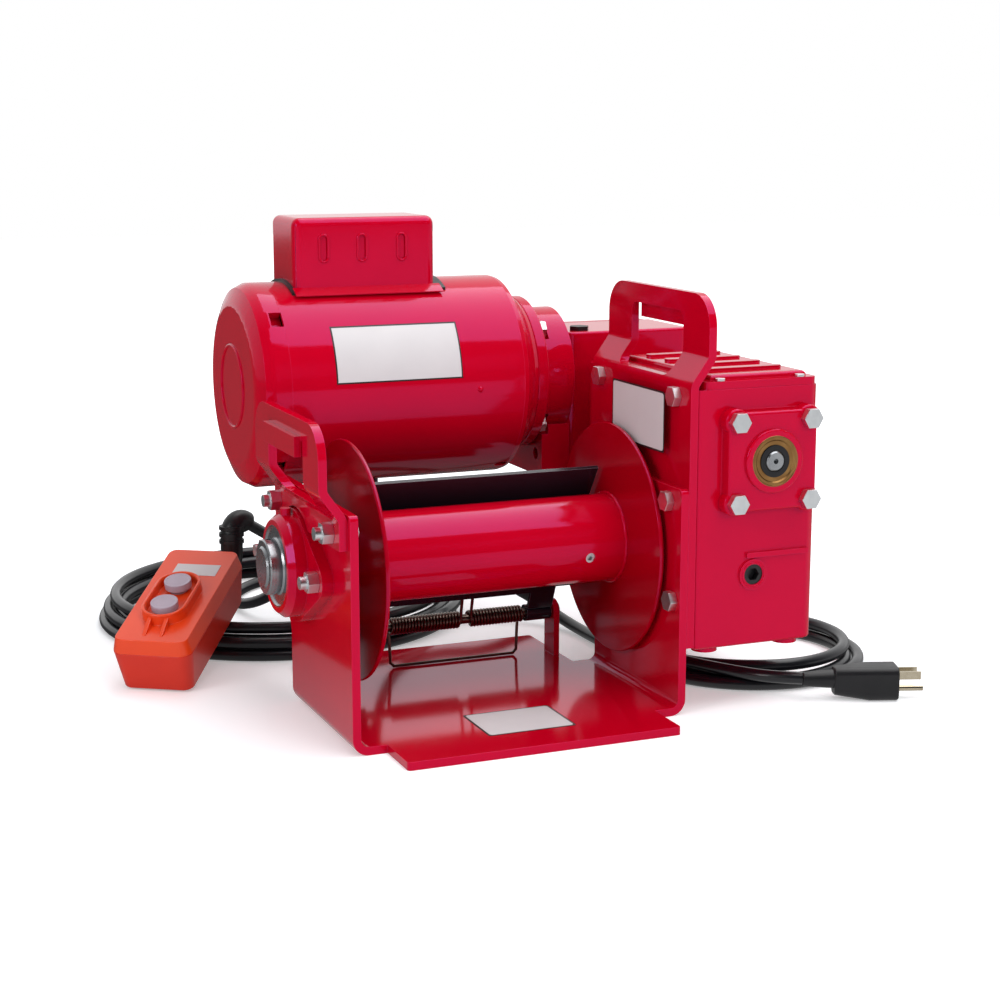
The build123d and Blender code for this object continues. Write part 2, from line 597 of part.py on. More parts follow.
with BuildPart() as worm_wheel:
    with BuildSketch(Plane.YZ.offset(WHEEL_LEFT)) as wheel_outline:
        with Locations((0, DRUM_Z)):
            Circle(WHEEL_TWO_RADIUS)
            with PolarLocations(WHEEL_TWO_RADIUS, WHEEL_TWO_TEETH):
                Rectangle(9, 4.4, mode=Mode.SUBTRACT)
    extrude(amount=WHEEL_TWO_WIDTH)
    for face_x in ((WHEEL_LEFT, WHEEL_LEFT + 6), (WHEEL_RIGHT - 6, WHEEL_RIGHT)):
        round_x(face_x, 0, DRUM_Z, WHEEL_TWO_RADIUS - 12, Mode.SUBTRACT)
    round_x((WHEEL_LEFT, WHEEL_RIGHT), 0, DRUM_Z, WHEEL_HUB_RADIUS)
    round_x((WHEEL_LEFT, WHEEL_RIGHT), 0, DRUM_Z, SHAFT_RADIUS, Mode.SUBTRACT)
    block((WHEEL_LEFT, WHEEL_RIGHT), (-KEY_WIDTH / 2, KEY_WIDTH / 2),
          (DRUM_Z, DRUM_Z + KEY_TOP), Mode.SUBTRACT)
save(worm_wheel, "worm_wheel")

# Flanged bearing on the left side of the frame
FLANGE_FACE = -SIDE - BEARING_FLANGE
BOSS_FACE = -SIDE - BEARING_BOSS_LENGTH
with BuildPart() as bearing_housing:
    with BuildSketch(facing_left(-SIDE, 0, DRUM_Z)):
        with BuildLine():
            upper = CenterArc((0, 0), BEARING_LOBE_RADIUS, 50, 80)
            Line(upper @ 1, (-BEARING_BOLT_Y - 8, 10))
            ThreePointArc((-BEARING_BOLT_Y - 8, 10), (-BEARING_BOLT_Y - 13, 0), (-BEARING_BOLT_Y - 8, -10))
            lower = CenterArc((0, 0), BEARING_LOBE_RADIUS, 230, 80)
            Line((-BEARING_BOLT_Y - 8, -10), lower @ 0)
            Line(lower @ 1, (BEARING_BOLT_Y + 8, -10))
            ThreePointArc((BEARING_BOLT_Y + 8, -10), (BEARING_BOLT_Y + 13, 0), (BEARING_BOLT_Y + 8, 10))
            Line((BEARING_BOLT_Y + 8, 10), upper @ 0)
        make_face()
    extrude(amount=BEARING_FLANGE)
    turned_x(
        (
            (-SIDE, 0),
            (-SIDE, BEARING_BOSS_RADIUS),
            (BOSS_FACE + 5, BEARING_BOSS_RADIUS),
            (BOSS_FACE, BEARING_BOSS_RADIUS - 4),
            (BOSS_FACE, 0),
        ),
        0,
        DRUM_Z,
    )
    round_x((BOSS_FACE - 1, BOSS_FACE + INSERT_WIDTH), 0, DRUM_Z, INSERT_RADIUS, Mode.SUBTRACT)
    round_x((BOSS_FACE - 1, -SIDE + 1), 0, DRUM_Z, SHAFT_RADIUS + SHAFT_BORE_PLAY, Mode.SUBTRACT)
    for bolt_y in (-BEARING_BOLT_Y, BEARING_BOLT_Y):
        round_x((FLANGE_FACE - 1, -SIDE + 1), bolt_y, DRUM_Z, BOLT_RADIUS + BOLT_PLAY, Mode.SUBTRACT)
    with Locations(Plane((BOSS_FACE + 9, 0, DRUM_Z + BEARING_BOSS_RADIUS - 1), z_dir=(0, 0, 1))):
        Cylinder(4, 6, align=(Align.CENTER, Align.CENTER, Align.MIN))
save(bearing_housing, "bearing_housing")

with BuildPart() as bearing_insert:
    turned_x(
        (
            (BOSS_FACE, SHAFT_RADIUS + RUN),
            (BOSS_FACE, COLLAR_RADIUS),
            (BOSS_FACE + 1.5, COLLAR_RADIUS + 1),
            (BOSS_FACE + 1.5, INSERT_RADIUS - 2),
            (BOSS_FACE, INSERT_RADIUS - 1),
            (BOSS_FACE, INSERT_RADIUS),
            (BOSS_FACE + INSERT_WIDTH, INSERT_RADIUS),
            (BOSS_FACE + INSERT_WIDTH, SHAFT_RADIUS + RUN),
        ),
        0,
        DRUM_Z,
    )
save(bearing_insert, "bearing_insert")

with BuildPart() as locking_collar:
    turned_x(
        (
            (BOSS_FACE - SEAT_GAP, SHAFT_RADIUS),
            (BOSS_FACE - SEAT_GAP, COLLAR_RADIUS),
            (BOSS_FACE - 8, COLLAR_RADIUS),
            (BOSS_FACE - 9, COLLAR_RADIUS - 1),
            (BOSS_FACE - 9, SHAFT_RADIUS),
        ),
        0,
        DRUM_Z,
    )
    round_z(BOSS_FACE - 4.5, 0, (DRUM_Z, DRUM_Z + COLLAR_RADIUS + 1), 2, Mode.SUBTRACT)
save(locking_collar, "locking_collar")

with BuildPart() as bearing_bolts:
    for bolt_y in (-BEARING_BOLT_Y, BEARING_BOLT_Y):
        hex_bolt(facing_left(FLANGE_FACE, bolt_y, DRUM_Z), BEARING_FLANGE + PLATE, head=NUT_THICK)
        round_x((FLANGE_FACE - NUT_THICK - STUD_END, FLANGE_FACE), bolt_y, DRUM_Z, BOLT_RADIUS)
        hex_prism(facing_left(-SIDE + PLATE + 5.5, bolt_y, DRUM_Z), BOLT_FLATS, 5.5)
save(bearing_bolts, "bearing_bolts")

# Second gear stage
COVER_LEFT = GEAR_LEFT + TOP_COVER_SET_IN
COVER_RIGHT = GEAR_RIGHT - 2
COVER_FACE = GEAR_TOP + TOP_COVER_THICK
COVER_SCREW_RADIUS = 2.5
TOP_SCREW_SPOTS = ((COVER_LEFT + 14, -GEAR_FRONT + 4.5), (COVER_RIGHT - 14, -GEAR_FRONT + 4.5),
                   (COVER_LEFT + 14, TOP_COVER_REAR - 4), (COVER_RIGHT - 14, TOP_COVER_REAR - 4))
with BuildPart() as gear_housing:
    block((GEAR_LEFT, GEAR_RIGHT), (-GEAR_FRONT, GEAR_REAR), (GEAR_BOTTOM, GEAR_TOP))
    fillet(gear_housing.edges().filter_by(Axis.Z).group_by(Axis.X)[-1], GEAR_CORNER)
    fillet(gear_housing.edges().filter_by(Axis.Z).group_by(Axis.X)[0], 3)
    fillet(gear_housing.faces().sort_by(Axis.Z)[0].edges(), 2.5)
    for pad_x in (GEAR_LEFT + 16, GEAR_RIGHT - 18):
        for pad_y in (-GEAR_FRONT + 14, GEAR_REAR - 16):
            round_z(pad_x, pad_y, (GEAR_BOTTOM - GEAR_FOOT_PAD, GEAR_BOTTOM + 4), 10)
    with BuildSketch(facing_front(WORM_X, -GEAR_FRONT, WORM_Z)):
        RectangleRounded(COVER_SIZE - 4, COVER_SIZE - 4, 10)
    extrude(amount=SEAT_GAP)
    bar_z = (DRUM_Z + FRONT_BAR_Z, DRUM_Z + FRONT_BAR_Z + FRONT_BAR)
    block((GEAR_LEFT + 43, GEAR_RIGHT - 8), (-GEAR_FRONT - 2.5, -GEAR_FRONT + 2), bar_z)
    round_y(PLUG_X, (-GEAR_FRONT - 2, -GEAR_FRONT + 4), PLUG_Z, PLUG_RADIUS + 4)
    round_x((GEAR_RIGHT - 4, GEAR_RIGHT + 5), 0, DRUM_Z, 42)
    chamfer(gear_housing.faces().sort_by(Axis.X)[-1].edges(), 1.5)
    for rib_y in (-62, 58):
        block((GEAR_RIGHT - 2, GEAR_RIGHT + 3), (rib_y - 2.5, rib_y + 2.5), (GEAR_BOTTOM + 12, GEAR_TOP - 30))
    block((GEAR_LEFT + GEAR_SIDE_WALL, GEAR_RIGHT - GEAR_WALL),
          (-GEAR_FRONT + GEAR_WALL, GEAR_REAR - GEAR_WALL),
          (GEAR_BOTTOM + 6, GEAR_TOP - GEAR_ROOF), Mode.SUBTRACT)
    block((GEAR_LEFT + GEAR_SIDE_WALL, GEAR_RIGHT - GEAR_WALL),
          (-GEAR_FRONT + GEAR_WALL, TOP_COVER_REAR - GEAR_ROOF),
          (GEAR_TOP - GEAR_ROOF - 1, GEAR_TOP + 1), Mode.SUBTRACT)
    round_x((GEAR_LEFT + 4, WHEEL_BEARING_LEFT + WHEEL_BEARING_WIDTH), 0, DRUM_Z, WHEEL_BEARING_RADIUS + 7)
    round_x((WHEEL_BEARING_RIGHT, GEAR_RIGHT), 0, DRUM_Z, WHEEL_BEARING_RADIUS + 7)
    round_x((WHEEL_BEARING_LEFT, WHEEL_BEARING_LEFT + WHEEL_BEARING_WIDTH), 0, DRUM_Z,
            WHEEL_BEARING_RADIUS, Mode.SUBTRACT)
    round_x((WHEEL_BEARING_RIGHT, WHEEL_BEARING_RIGHT + WHEEL_BEARING_WIDTH), 0, DRUM_Z,
            WHEEL_BEARING_RADIUS, Mode.SUBTRACT)
    round_x((GEAR_LEFT - 1, WHEEL_BEARING_LEFT), 0, DRUM_Z, SHAFT_RADIUS + 2, Mode.SUBTRACT)
    round_y(WORM_X, (-GEAR_FRONT + 4, -GEAR_FRONT + WORM_BEARING_WIDTH + 4), WORM_Z, WORM_BEARING_RADIUS + 6)
    round_y(WORM_X, (GEAR_REAR - WORM_BEARING_WIDTH - 4, GEAR_REAR - 4), WORM_Z, WORM_BEARING_RADIUS + 6)
    round_y(WORM_X, (-GEAR_FRONT - 1, -GEAR_FRONT + WORM_BEARING_WIDTH + 5), WORM_Z,
            WORM_BEARING_RADIUS, Mode.SUBTRACT)
    round_y(WORM_X, (GEAR_REAR - WORM_BEARING_WIDTH - 5, GEAR_REAR + 1), WORM_Z,
            WORM_BEARING_RADIUS, Mode.SUBTRACT)
    round_y(PLUG_X, (-GEAR_FRONT - 3, -GEAR_FRONT + GEAR_WALL + 1), PLUG_Z, PLUG_RADIUS, Mode.SUBTRACT)
    for bolt_x in (-COVER_BOLT, COVER_BOLT):
        for bolt_z in (-COVER_BOLT, COVER_BOLT):
            round_y(WORM_X + bolt_x, (-GEAR_FRONT - 1, -GEAR_FRONT + 6), WORM_Z + bolt_z,
                    BOLT_RADIUS + BOLT_PLAY, Mode.SUBTRACT)
    for bolt_y, bolt_z in GEAR_BOLT_SPOTS + FLUSH_SCREW_SPOTS:
        round_x((GEAR_LEFT - 1, GEAR_LEFT + 7), bolt_y, bolt_z, BOLT_RADIUS + BOLT_PLAY, Mode.SUBTRACT)
    for bolt_y in HANDLE_BOLT_SPOTS:
        round_x((GEAR_LEFT - 1, GEAR_LEFT + 7), bolt_y, RIGHT_BOLT_Z, BOLT_RADIUS + BOLT_PLAY, Mode.SUBTRACT)
    for screw_x, screw_y in TOP_SCREW_SPOTS:
        round_z(screw_x, screw_y, (GEAR_TOP - 6, GEAR_TOP + 1), COVER_SCREW_RADIUS + BOLT_PLAY, Mode.SUBTRACT)
save(gear_housing, "gear_housing")

with BuildPart() as gear_top_cover:
    block((COVER_LEFT, COVER_RIGHT), (-GEAR_FRONT + 1, TOP_COVER_REAR), (GEAR_TOP, COVER_FACE))
    fillet(gear_top_cover.edges().filter_by(Axis.Z), 6)
    panel_x = (COVER_LEFT + 8, COVER_RIGHT - 6)
    block(panel_x, (-GEAR_FRONT + 9, TOP_COVER_REAR - 8), (COVER_FACE, COVER_FACE + TOP_PANEL_HEIGHT))
    fillet(gear_top_cover.faces().sort_by(Axis.Z)[-1].edges(), TOP_PANEL_HEIGHT - 0.5)
    for rib_y in (-78.0, -46.0, -14.0, 18.0):
        with BuildSketch(Plane.XY.offset(COVER_FACE + TOP_PANEL_HEIGHT - 0.5)):
            with Locations(((panel_x[0] + panel_x[1]) / 2, rib_y)):
                SlotOverall(panel_x[1] - panel_x[0] - 16, 9)
        extrude(amount=TOP_RIB_HEIGHT)
    for screw_x, screw_y in TOP_SCREW_SPOTS:
        round_z(screw_x, screw_y, (GEAR_TOP - 1, COVER_FACE + 1),
                COVER_SCREW_RADIUS + BOLT_PLAY, Mode.SUBTRACT)
save(gear_top_cover, "gear_top_cover")

with BuildPart() as worm_end_cover:
    with BuildSketch(facing_front(WORM_X, -GEAR_FRONT - SEAT_GAP, WORM_Z)):
        RectangleRounded(COVER_SIZE - 6, COVER_SIZE - 6, 9)
        with GridLocations(2 * COVER_BOLT, 2 * COVER_BOLT, 2, 2):
            Circle(10)
    extrude(amount=COVER_THICK - SEAT_GAP - 3)
    fillet(worm_end_cover.faces().sort_by(Axis.Y)[0].edges(), 2.5)
    round_y(WORM_X, (-GEAR_FRONT - COVER_THICK, -GEAR_FRONT - 2), WORM_Z, SEAL_RADIUS + 5)
    fillet(worm_end_cover.faces().sort_by(Axis.Y)[0].edges(), 1.5)
    round_y(WORM_X, (-GEAR_FRONT - COVER_THICK - 1, -GEAR_FRONT - COVER_THICK + SEAL_WIDTH), WORM_Z,
            SEAL_RADIUS, Mode.SUBTRACT)
    round_y(WORM_X, (-GEAR_FRONT - COVER_THICK - 1, -GEAR_FRONT + 1), WORM_Z, CROSS_RADIUS + 2, Mode.SUBTRACT)
    for bolt_x in (-COVER_BOLT, COVER_BOLT):
        for bolt_z in (-COVER_BOLT, COVER_BOLT):
            round_y(WORM_X + bolt_x, (-GEAR_FRONT - COVER_THICK - 1, -GEAR_FRONT + 1), WORM_Z + bolt_z,
                    BOLT_RADIUS + BOLT_PLAY, Mode.SUBTRACT)
save(worm_end_cover, "worm_end_cover")

BOX_SCREW_SPOTS = ((BOX_LEFT + 9, BOX_BOTTOM + 9), (BOX_LEFT + 9, BOX_TOP - 9),
                   (GEAR_RIGHT - 9, BOX_BOTTOM + 9), (GEAR_RIGHT - 9, BOX_TOP - 9))
with BuildPart() as gear_cover_bolts:
    cover_face = -GEAR_FRONT - COVER_THICK + 3
    for bolt_x in (-COVER_BOLT, COVER_BOLT):
        for bolt_z in (-COVER_BOLT, COVER_BOLT):
            hex_bolt(facing_front(WORM_X + bolt_x, cover_face, WORM_Z + bolt_z), COVER_THICK + 2)
    for bolt_x, bolt_z in BOX_SCREW_SPOTS:
        back = Plane((bolt_x, BOX_REAR + BOX_COVER_THICK, bolt_z), x_dir=(-1, 0, 0), z_dir=(0, 1, 0))
        hex_bolt(back, BOX_COVER_THICK, radius=3, flats=10, head=4)
    for screw_x, screw_y in TOP_SCREW_SPOTS:
        round_z(screw_x, screw_y, (GEAR_TOP - 5, COVER_FACE), COVER_SCREW_RADIUS)
        round_z(screw_x, screw_y, (COVER_FACE, COVER_FACE + 2), COVER_SCREW_RADIUS + 1.2)
save(gear_cover_bolts, "gear_cover_bolts")

with BuildPart() as worm_seal:
    seal_face = -GEAR_FRONT - COVER_THICK
    turned_y(
        (
            (seal_face, SEAL_RADIUS),
            (seal_face + SEAL_WIDTH, SEAL_RADIUS),
            (seal_face + SEAL_WIDTH, CROSS_END_RADIUS + RUN),
            (seal_face + 2.5, CROSS_END_RADIUS + RUN),
            (seal_face + 1, CROSS_END_RADIUS + 3),
            (seal_face + 1, SEAL_RADIUS - 4),
            (seal_face, SEAL_RADIUS - 3),
        ),
        WORM_X,
        WORM_Z,
    )
save(worm_seal, "worm_seal")

WORM_BEARING_FRONT = (-GEAR_FRONT + 2, -GEAR_FRONT + 2 + WORM_BEARING_WIDTH)
WORM_BEARING_BACK = (GEAR_REAR - 3 - WORM_BEARING_WIDTH, GEAR_REAR - 3)
with BuildPart() as worm_bearings:
    for span in (WORM_BEARING_FRONT, WORM_BEARING_BACK):
        round_y(WORM_X, span, WORM_Z, WORM_BEARING_RADIUS)
        round_y(WORM_X, span, WORM_Z, CROSS_RADIUS + RUN, Mode.SUBTRACT)
save(worm_bearings, "worm_bearings")

with BuildPart() as wheel_bearings:
    for left in (WHEEL_BEARING_LEFT, WHEEL_BEARING_RIGHT):
        span = (left, left + WHEEL_BEARING_WIDTH)
        round_x(span, 0, DRUM_Z, WHEEL_BEARING_RADIUS)
        round_x(span, 0, DRUM_Z, SHAFT_RADIUS + RUN, Mode.SUBTRACT)
save(wheel_bearings, "wheel_bearings")

with BuildPart() as gearbox_plugs:
    round_y(PLUG_X, (-GEAR_FRONT - 1, -GEAR_FRONT + 9), PLUG_Z, PLUG_RADIUS)
    with BuildSketch(facing_front(PLUG_X, -GEAR_FRONT - 1, PLUG_Z)):
        RegularPolygon(4.5, 6, major_radius=False)
    extrude(amount=-6, mode=Mode.SUBTRACT)
    round_z(VENT_X, BOX_FRONT + 15, (BOX_TOP - 6, BOX_TOP), 5)
    hex_prism(Plane((VENT_X, BOX_FRONT + 15, BOX_TOP), z_dir=(0, 0, 1)), 15, 3.5)
save(gearbox_plugs, "gearbox_plugs")


def rack_rings(start, stop, outer, pitch, depth):
    """Profile of a worm thread seen from the side, as (place, radius) points."""
    points = [(start, 0), (start, outer - depth)]
    place = start + pitch / 4
    while place + pitch / 2 < stop:
        points += [(place - pitch / 8, outer - depth), (place + pitch / 16, outer),
                   (place + pitch * 5 / 16, outer), (place + pitch / 2, outer - depth)]
        place += pitch
    return points + [(stop, outer - depth), (stop, 0)]


# Cross shaft: the second worm in front, the first wheel behind
CROSS_BACK = BOX_REAR + 2
WORM_TWO_PITCH = 2 * math.pi * WHEEL_TWO_RADIUS / WHEEL_TWO_TEETH
WHEEL_ONE_RADIUS = STAGE_ONE_CENTRES - WORM_ONE_RADIUS - MESH_GAP
WORM_ONE_PITCH = 2 * math.pi * WHEEL_ONE_RADIUS / WHEEL_ONE_TEETH
with BuildPart() as cross_shaft:
    round_y(WORM_X, (CROSS_FRONT, WORM_BEARING_FRONT[0] - 1), WORM_Z, CROSS_END_RADIUS)
    chamfer(cross_shaft.faces().sort_by(Axis.Y)[0].edges(), 1)
    round_y(WORM_X, (WORM_BEARING_FRONT[0] - 1, CROSS_BACK - 14), WORM_Z, CROSS_RADIUS)
    round_y(WORM_X, (CROSS_BACK - 14, CROSS_BACK), WORM_Z, MOTOR_SHAFT_RADIUS)
    turned_y(
        rack_rings(-WORM_TWO_LENGTH / 2, WORM_TWO_LENGTH / 2, WORM_TWO_RADIUS, WORM_TWO_PITCH, 5),
        WORM_X,
        WORM_Z,
    )
    round_y(WORM_X, (CROSS_FRONT - 1, CROSS_FRONT + 4), WORM_Z, 2, Mode.SUBTRACT)
save(cross_shaft, "cross_shaft")

with BuildPart() as first_wheel:
    with BuildSketch(Plane.XZ.offset(-MOTOR_Y - WHEEL_ONE_WIDTH / 2)):
        with Locations((WORM_X, WORM_Z)):
            Circle(WHEEL_ONE_RADIUS)
            Circle(CROSS_RADIUS, mode=Mode.SUBTRACT)
            with PolarLocations(WHEEL_ONE_RADIUS, WHEEL_ONE_TEETH):
                Rectangle(6, 2.8, mode=Mode.SUBTRACT)
    extrude(amount=WHEEL_ONE_WIDTH)
save(first_wheel, "first_wheel")

# First gear stage
with BuildPart() as primary_housing:
    block((BOX_LEFT, GEAR_RIGHT), (BOX_FRONT, BOX_REAR), (BOX_BOTTOM, BOX_TOP))
    fillet(primary_housing.edges().filter_by(Axis.Z).group_by(Axis.Y)[0], BOX_CORNER)
    fillet(primary_housing.faces().sort_by(Axis.Z)[-1].edges(), 2.5)
    round_y(WORM_X, (GEAR_REAR, BOX_FRONT + 2), WORM_Z, NECK_RADIUS)
    block((BOX_LEFT + BOX_WALL, GEAR_RIGHT - BOX_WALL), (BOX_FRONT + BOX_WALL, BOX_REAR + 1),
          (BOX_BOTTOM + BOX_WALL, BOX_TOP - BOX_WALL), Mode.SUBTRACT)
    round_y(WORM_X, (GEAR_REAR - 1, BOX_FRONT + BOX_WALL + 1), WORM_Z, CROSS_RADIUS + 3, Mode.SUBTRACT)
    round_x((BOX_LEFT - 1, BOX_LEFT + BOX_WALL + 1), *MOTOR_AXIS, SMALL_BEARING_RADIUS, Mode.SUBTRACT)
    round_x((GEAR_RIGHT - BOX_WALL - 1, GEAR_RIGHT - 1), *MOTOR_AXIS, SMALL_BEARING_RADIUS, Mode.SUBTRACT)
    round_z(VENT_X, BOX_FRONT + 15, (BOX_TOP - 7, BOX_TOP + 1), 5, Mode.SUBTRACT)
    for rib_z in (BOX_BOTTOM + 24, BOX_BOTTOM + 54):
        block((GEAR_RIGHT - 1, GEAR_RIGHT + 3), (BOX_FRONT + 12, BOX_REAR - 8), (rib_z, rib_z + 4))
save(primary_housing, "primary_housing")

with BuildPart() as primary_cover:
    block((BOX_LEFT, GEAR_RIGHT), (BOX_REAR, BOX_REAR + BOX_COVER_THICK), (BOX_BOTTOM, BOX_TOP))
    fillet(primary_cover.edges().filter_by(Axis.Y), BOX_CORNER)
    round_y(WORM_X, (BOX_REAR - 8, BOX_REAR + BOX_COVER_THICK + 5), WORM_Z, SMALL_BEARING_RADIUS + 7)
    round_y(WORM_X, (BOX_REAR - 9, BOX_REAR + 3), WORM_Z, SMALL_BEARING_RADIUS, Mode.SUBTRACT)
    for bolt_x, bolt_z in BOX_SCREW_SPOTS:
        round_y(bolt_x, (BOX_REAR - 1, BOX_REAR + BOX_COVER_THICK + 1), bolt_z, 3.2, Mode.SUBTRACT)
save(primary_cover, "primary_cover")

with BuildPart() as primary_bearings:
    for left in (BOX_LEFT + 0.5, GEAR_RIGHT - BOX_WALL):
        span = (left, left + SMALL_BEARING_WIDTH)
        round_x(span, *MOTOR_AXIS, SMALL_BEARING_RADIUS)
        round_x(span, *MOTOR_AXIS, MOTOR_SHAFT_RADIUS + RUN, Mode.SUBTRACT)
    span = (BOX_REAR - 7, BOX_REAR - 7 + SMALL_BEARING_WIDTH)
    round_y(WORM_X, span, WORM_Z, SMALL_BEARING_RADIUS)
    round_y(WORM_X, span, WORM_Z, MOTOR_SHAFT_RADIUS + RUN, Mode.SUBTRACT)
save(primary_bearings, "primary_bearings")

ADAPTER_BOLT_CIRCLE = BELL_NOSE_RADIUS - 8
ADAPTER_FACE = BELL_RIGHT + ADAPTER_FLANGE
ADAPTER_BOLT_END = BELL_RIGHT - 5
ADAPTER_BOLT_SPOTS = [
    (MOTOR_Y + ADAPTER_BOLT_CIRCLE * math.cos(math.radians(angle)),
     MOTOR_Z + ADAPTER_BOLT_CIRCLE * math.sin(math.radians(angle)))
    for angle in (45, 135, 225, 315)
]
with BuildPart() as motor_adapter:
    round_x((BELL_RIGHT, BELL_RIGHT + ADAPTER_FLANGE), *MOTOR_AXIS, BELL_NOSE_RADIUS)
    fillet(motor_adapter.edges().filter_by(GeomType.CIRCLE), 1.5)
    round_x((BELL_RIGHT + 2, BOX_LEFT), *MOTOR_AXIS, ADAPTER_RADIUS)
    block((BELL_RIGHT + 12, BOX_LEFT), (BOX_FRONT - 5, BOX_REAR + 5), (BOX_BOTTOM, BOX_BOTTOM + 44))
    fillet(motor_adapter.edges().filter_by(Axis.X).group_by(Axis.Z)[0], 6)
    round_x((BELL_RIGHT - 1, BOX_LEFT + 1), *MOTOR_AXIS, SMALL_BEARING_RADIUS + 8, Mode.SUBTRACT)
    for pad_y in (BOX_FRONT + 8, BOX_REAR - 8):
        round_x((BELL_RIGHT, BOX_LEFT - 6), pad_y, BOX_BOTTOM + 18, 5, Mode.SUBTRACT)
    for bolt_y, bolt_z in ADAPTER_BOLT_SPOTS:
        round_x((ADAPTER_FACE, ADAPTER_FACE + 8), bolt_y, bolt_z, BOLT_FLATS * 0.65, Mode.SUBTRACT)
        round_x((BELL_RIGHT - 1, ADAPTER_FACE + 1), bolt_y, bolt_z, BOLT_RADIUS + BOLT_PLAY, Mode.SUBTRACT)
save(motor_adapter, "motor_adapter")

# Motor
with BuildPart() as motor_shell:
    round_x((SHELL_LEFT, SHELL_RIGHT), *MOTOR_AXIS, SHELL_RADIUS)
    round_x((SHELL_LEFT, SHELL_RIGHT), *MOTOR_AXIS, SHELL_RADIUS - SHELL_WALL, Mode.SUBTRACT)
    for slot_angle in (-60, -90, -120):
        slot_plane = Plane((0, *MOTOR_AXIS), x_dir=(1, 0, 0), z_dir=(0, math.cos(math.radians(slot_angle)),
                                                                  math.sin(math.radians(slot_angle))))
        with BuildSketch(slot_plane.offset(SHELL_RADIUS - 8)):
            with GridLocations(150, 1, 2, 1):
                SlotOverall(26, 8)
        extrude(amount=12, mode=Mode.SUBTRACT)
save(motor_shell, "motor_shell")

REAR_SEAT = (SHELL_LEFT - 12, SHELL_LEFT - 12 + MOTOR_BEARING_WIDTH)
FRONT_SEAT = (SHELL_RIGHT + 3, SHELL_RIGHT + 3 + MOTOR_BEARING_WIDTH)
with BuildPart() as rear_end_bell:
    turned_x(
        (
            (SHELL_LEFT, SHELL_RADIUS),
            (SHELL_LEFT - 12, SHELL_RADIUS),
            (SHELL_LEFT - 20, SHELL_RADIUS - 4),
            (BELL_LEFT + 1.5, SHELL_RADIUS - 14),
            (BELL_LEFT, SHELL_RADIUS - 20),
            (BELL_LEFT, 0),
            (BELL_LEFT + 7, 0),
            (BELL_LEFT + 7, SHELL_RADIUS - 22),
            (SHELL_LEFT - 13, SHELL_RADIUS - 8),
            (SHELL_LEFT, SHELL_RADIUS - 7),
        ),
        *MOTOR_AXIS,
    )
    round_x((BELL_LEFT + 4, REAR_SEAT[1]), *MOTOR_AXIS, MOTOR_BEARING_RADIUS + 5)
    round_x((REAR_SEAT[0], REAR_SEAT[1] + 1), *MOTOR_AXIS, MOTOR_BEARING_RADIUS, Mode.SUBTRACT)
    round_x((REAR_SEAT[0] - 4, REAR_SEAT[1] + 1), *MOTOR_AXIS, MOTOR_SHAFT_RADIUS + 1, Mode.SUBTRACT)
    with Locations(Plane((SHELL_LEFT - 5, *MOTOR_AXIS), x_dir=(0, 1, 0), z_dir=(1, 0, 0))):
        with PolarLocations(SHELL_RADIUS, 4, start_angle=45):
            Box(16, 14, 10, mode=Mode.SUBTRACT)
save(rear_end_bell, "rear_end_bell")

with BuildPart() as front_end_bell:
    turned_x(
        (
            (SHELL_RIGHT, SHELL_RADIUS),
            (SHELL_RIGHT + 4, SHELL_RADIUS - 1),
            (BELL_RIGHT - 5, BELL_NOSE_RADIUS + 3),
            (BELL_RIGHT, BELL_NOSE_RADIUS),
            (BELL_RIGHT, 0),
            (BELL_RIGHT - 6, 0),
            (BELL_RIGHT - 6, BELL_NOSE_RADIUS - 5),
            (SHELL_RIGHT, SHELL_RADIUS - 7),
        ),
        *MOTOR_AXIS,
    )
    round_x((FRONT_SEAT[0], BELL_RIGHT - 2), *MOTOR_AXIS, MOTOR_BEARING_RADIUS + 5)
    round_x((FRONT_SEAT[0] - 1, FRONT_SEAT[1]), *MOTOR_AXIS, MOTOR_BEARING_RADIUS, Mode.SUBTRACT)
    round_x((FRONT_SEAT[0], BELL_RIGHT + 1), *MOTOR_AXIS, MOTOR_SHAFT_RADIUS + 1, Mode.SUBTRACT)
    for bolt_y, bolt_z in ADAPTER_BOLT_SPOTS:
        round_x((ADAPTER_BOLT_END - 2, BELL_RIGHT + 1), bolt_y, bolt_z,
                BOLT_RADIUS + BOLT_PLAY, Mode.SUBTRACT)
save(front_end_bell, "front_end_bell")

with BuildPart() as stator:
    turned_x(
        (
            (STATOR_LEFT - 18, STATOR_BORE + 6),
            (STATOR_LEFT - 18, SHELL_RADIUS - 14),
            (STATOR_LEFT, SHELL_RADIUS - 14),
            (STATOR_LEFT, SHELL_RADIUS - SHELL_WALL),
            (STATOR_RIGHT, SHELL_RADIUS - SHELL_WALL),
            (STATOR_RIGHT, SHELL_RADIUS - 14),
            (STATOR_RIGHT + 18, SHELL_RADIUS - 14),
            (STATOR_RIGHT + 18, STATOR_BORE + 6),
            (STATOR_RIGHT, STATOR_BORE),
            (STATOR_LEFT, STATOR_BORE),
        ),
        *MOTOR_AXIS,
    )
save(stator, "stator")

with BuildPart() as rotor_core:
    round_x((STATOR_LEFT, STATOR_RIGHT), *MOTOR_AXIS, STATOR_BORE - AIR_GAP)
    round_x((STATOR_LEFT - 8, STATOR_RIGHT + 8), *MOTOR_AXIS, STATOR_BORE - 8)
    round_x((STATOR_LEFT - 9, STATOR_RIGHT + 9), *MOTOR_AXIS, MOTOR_SHAFT_RADIUS, Mode.SUBTRACT)
save(rotor_core, "rotor_core")

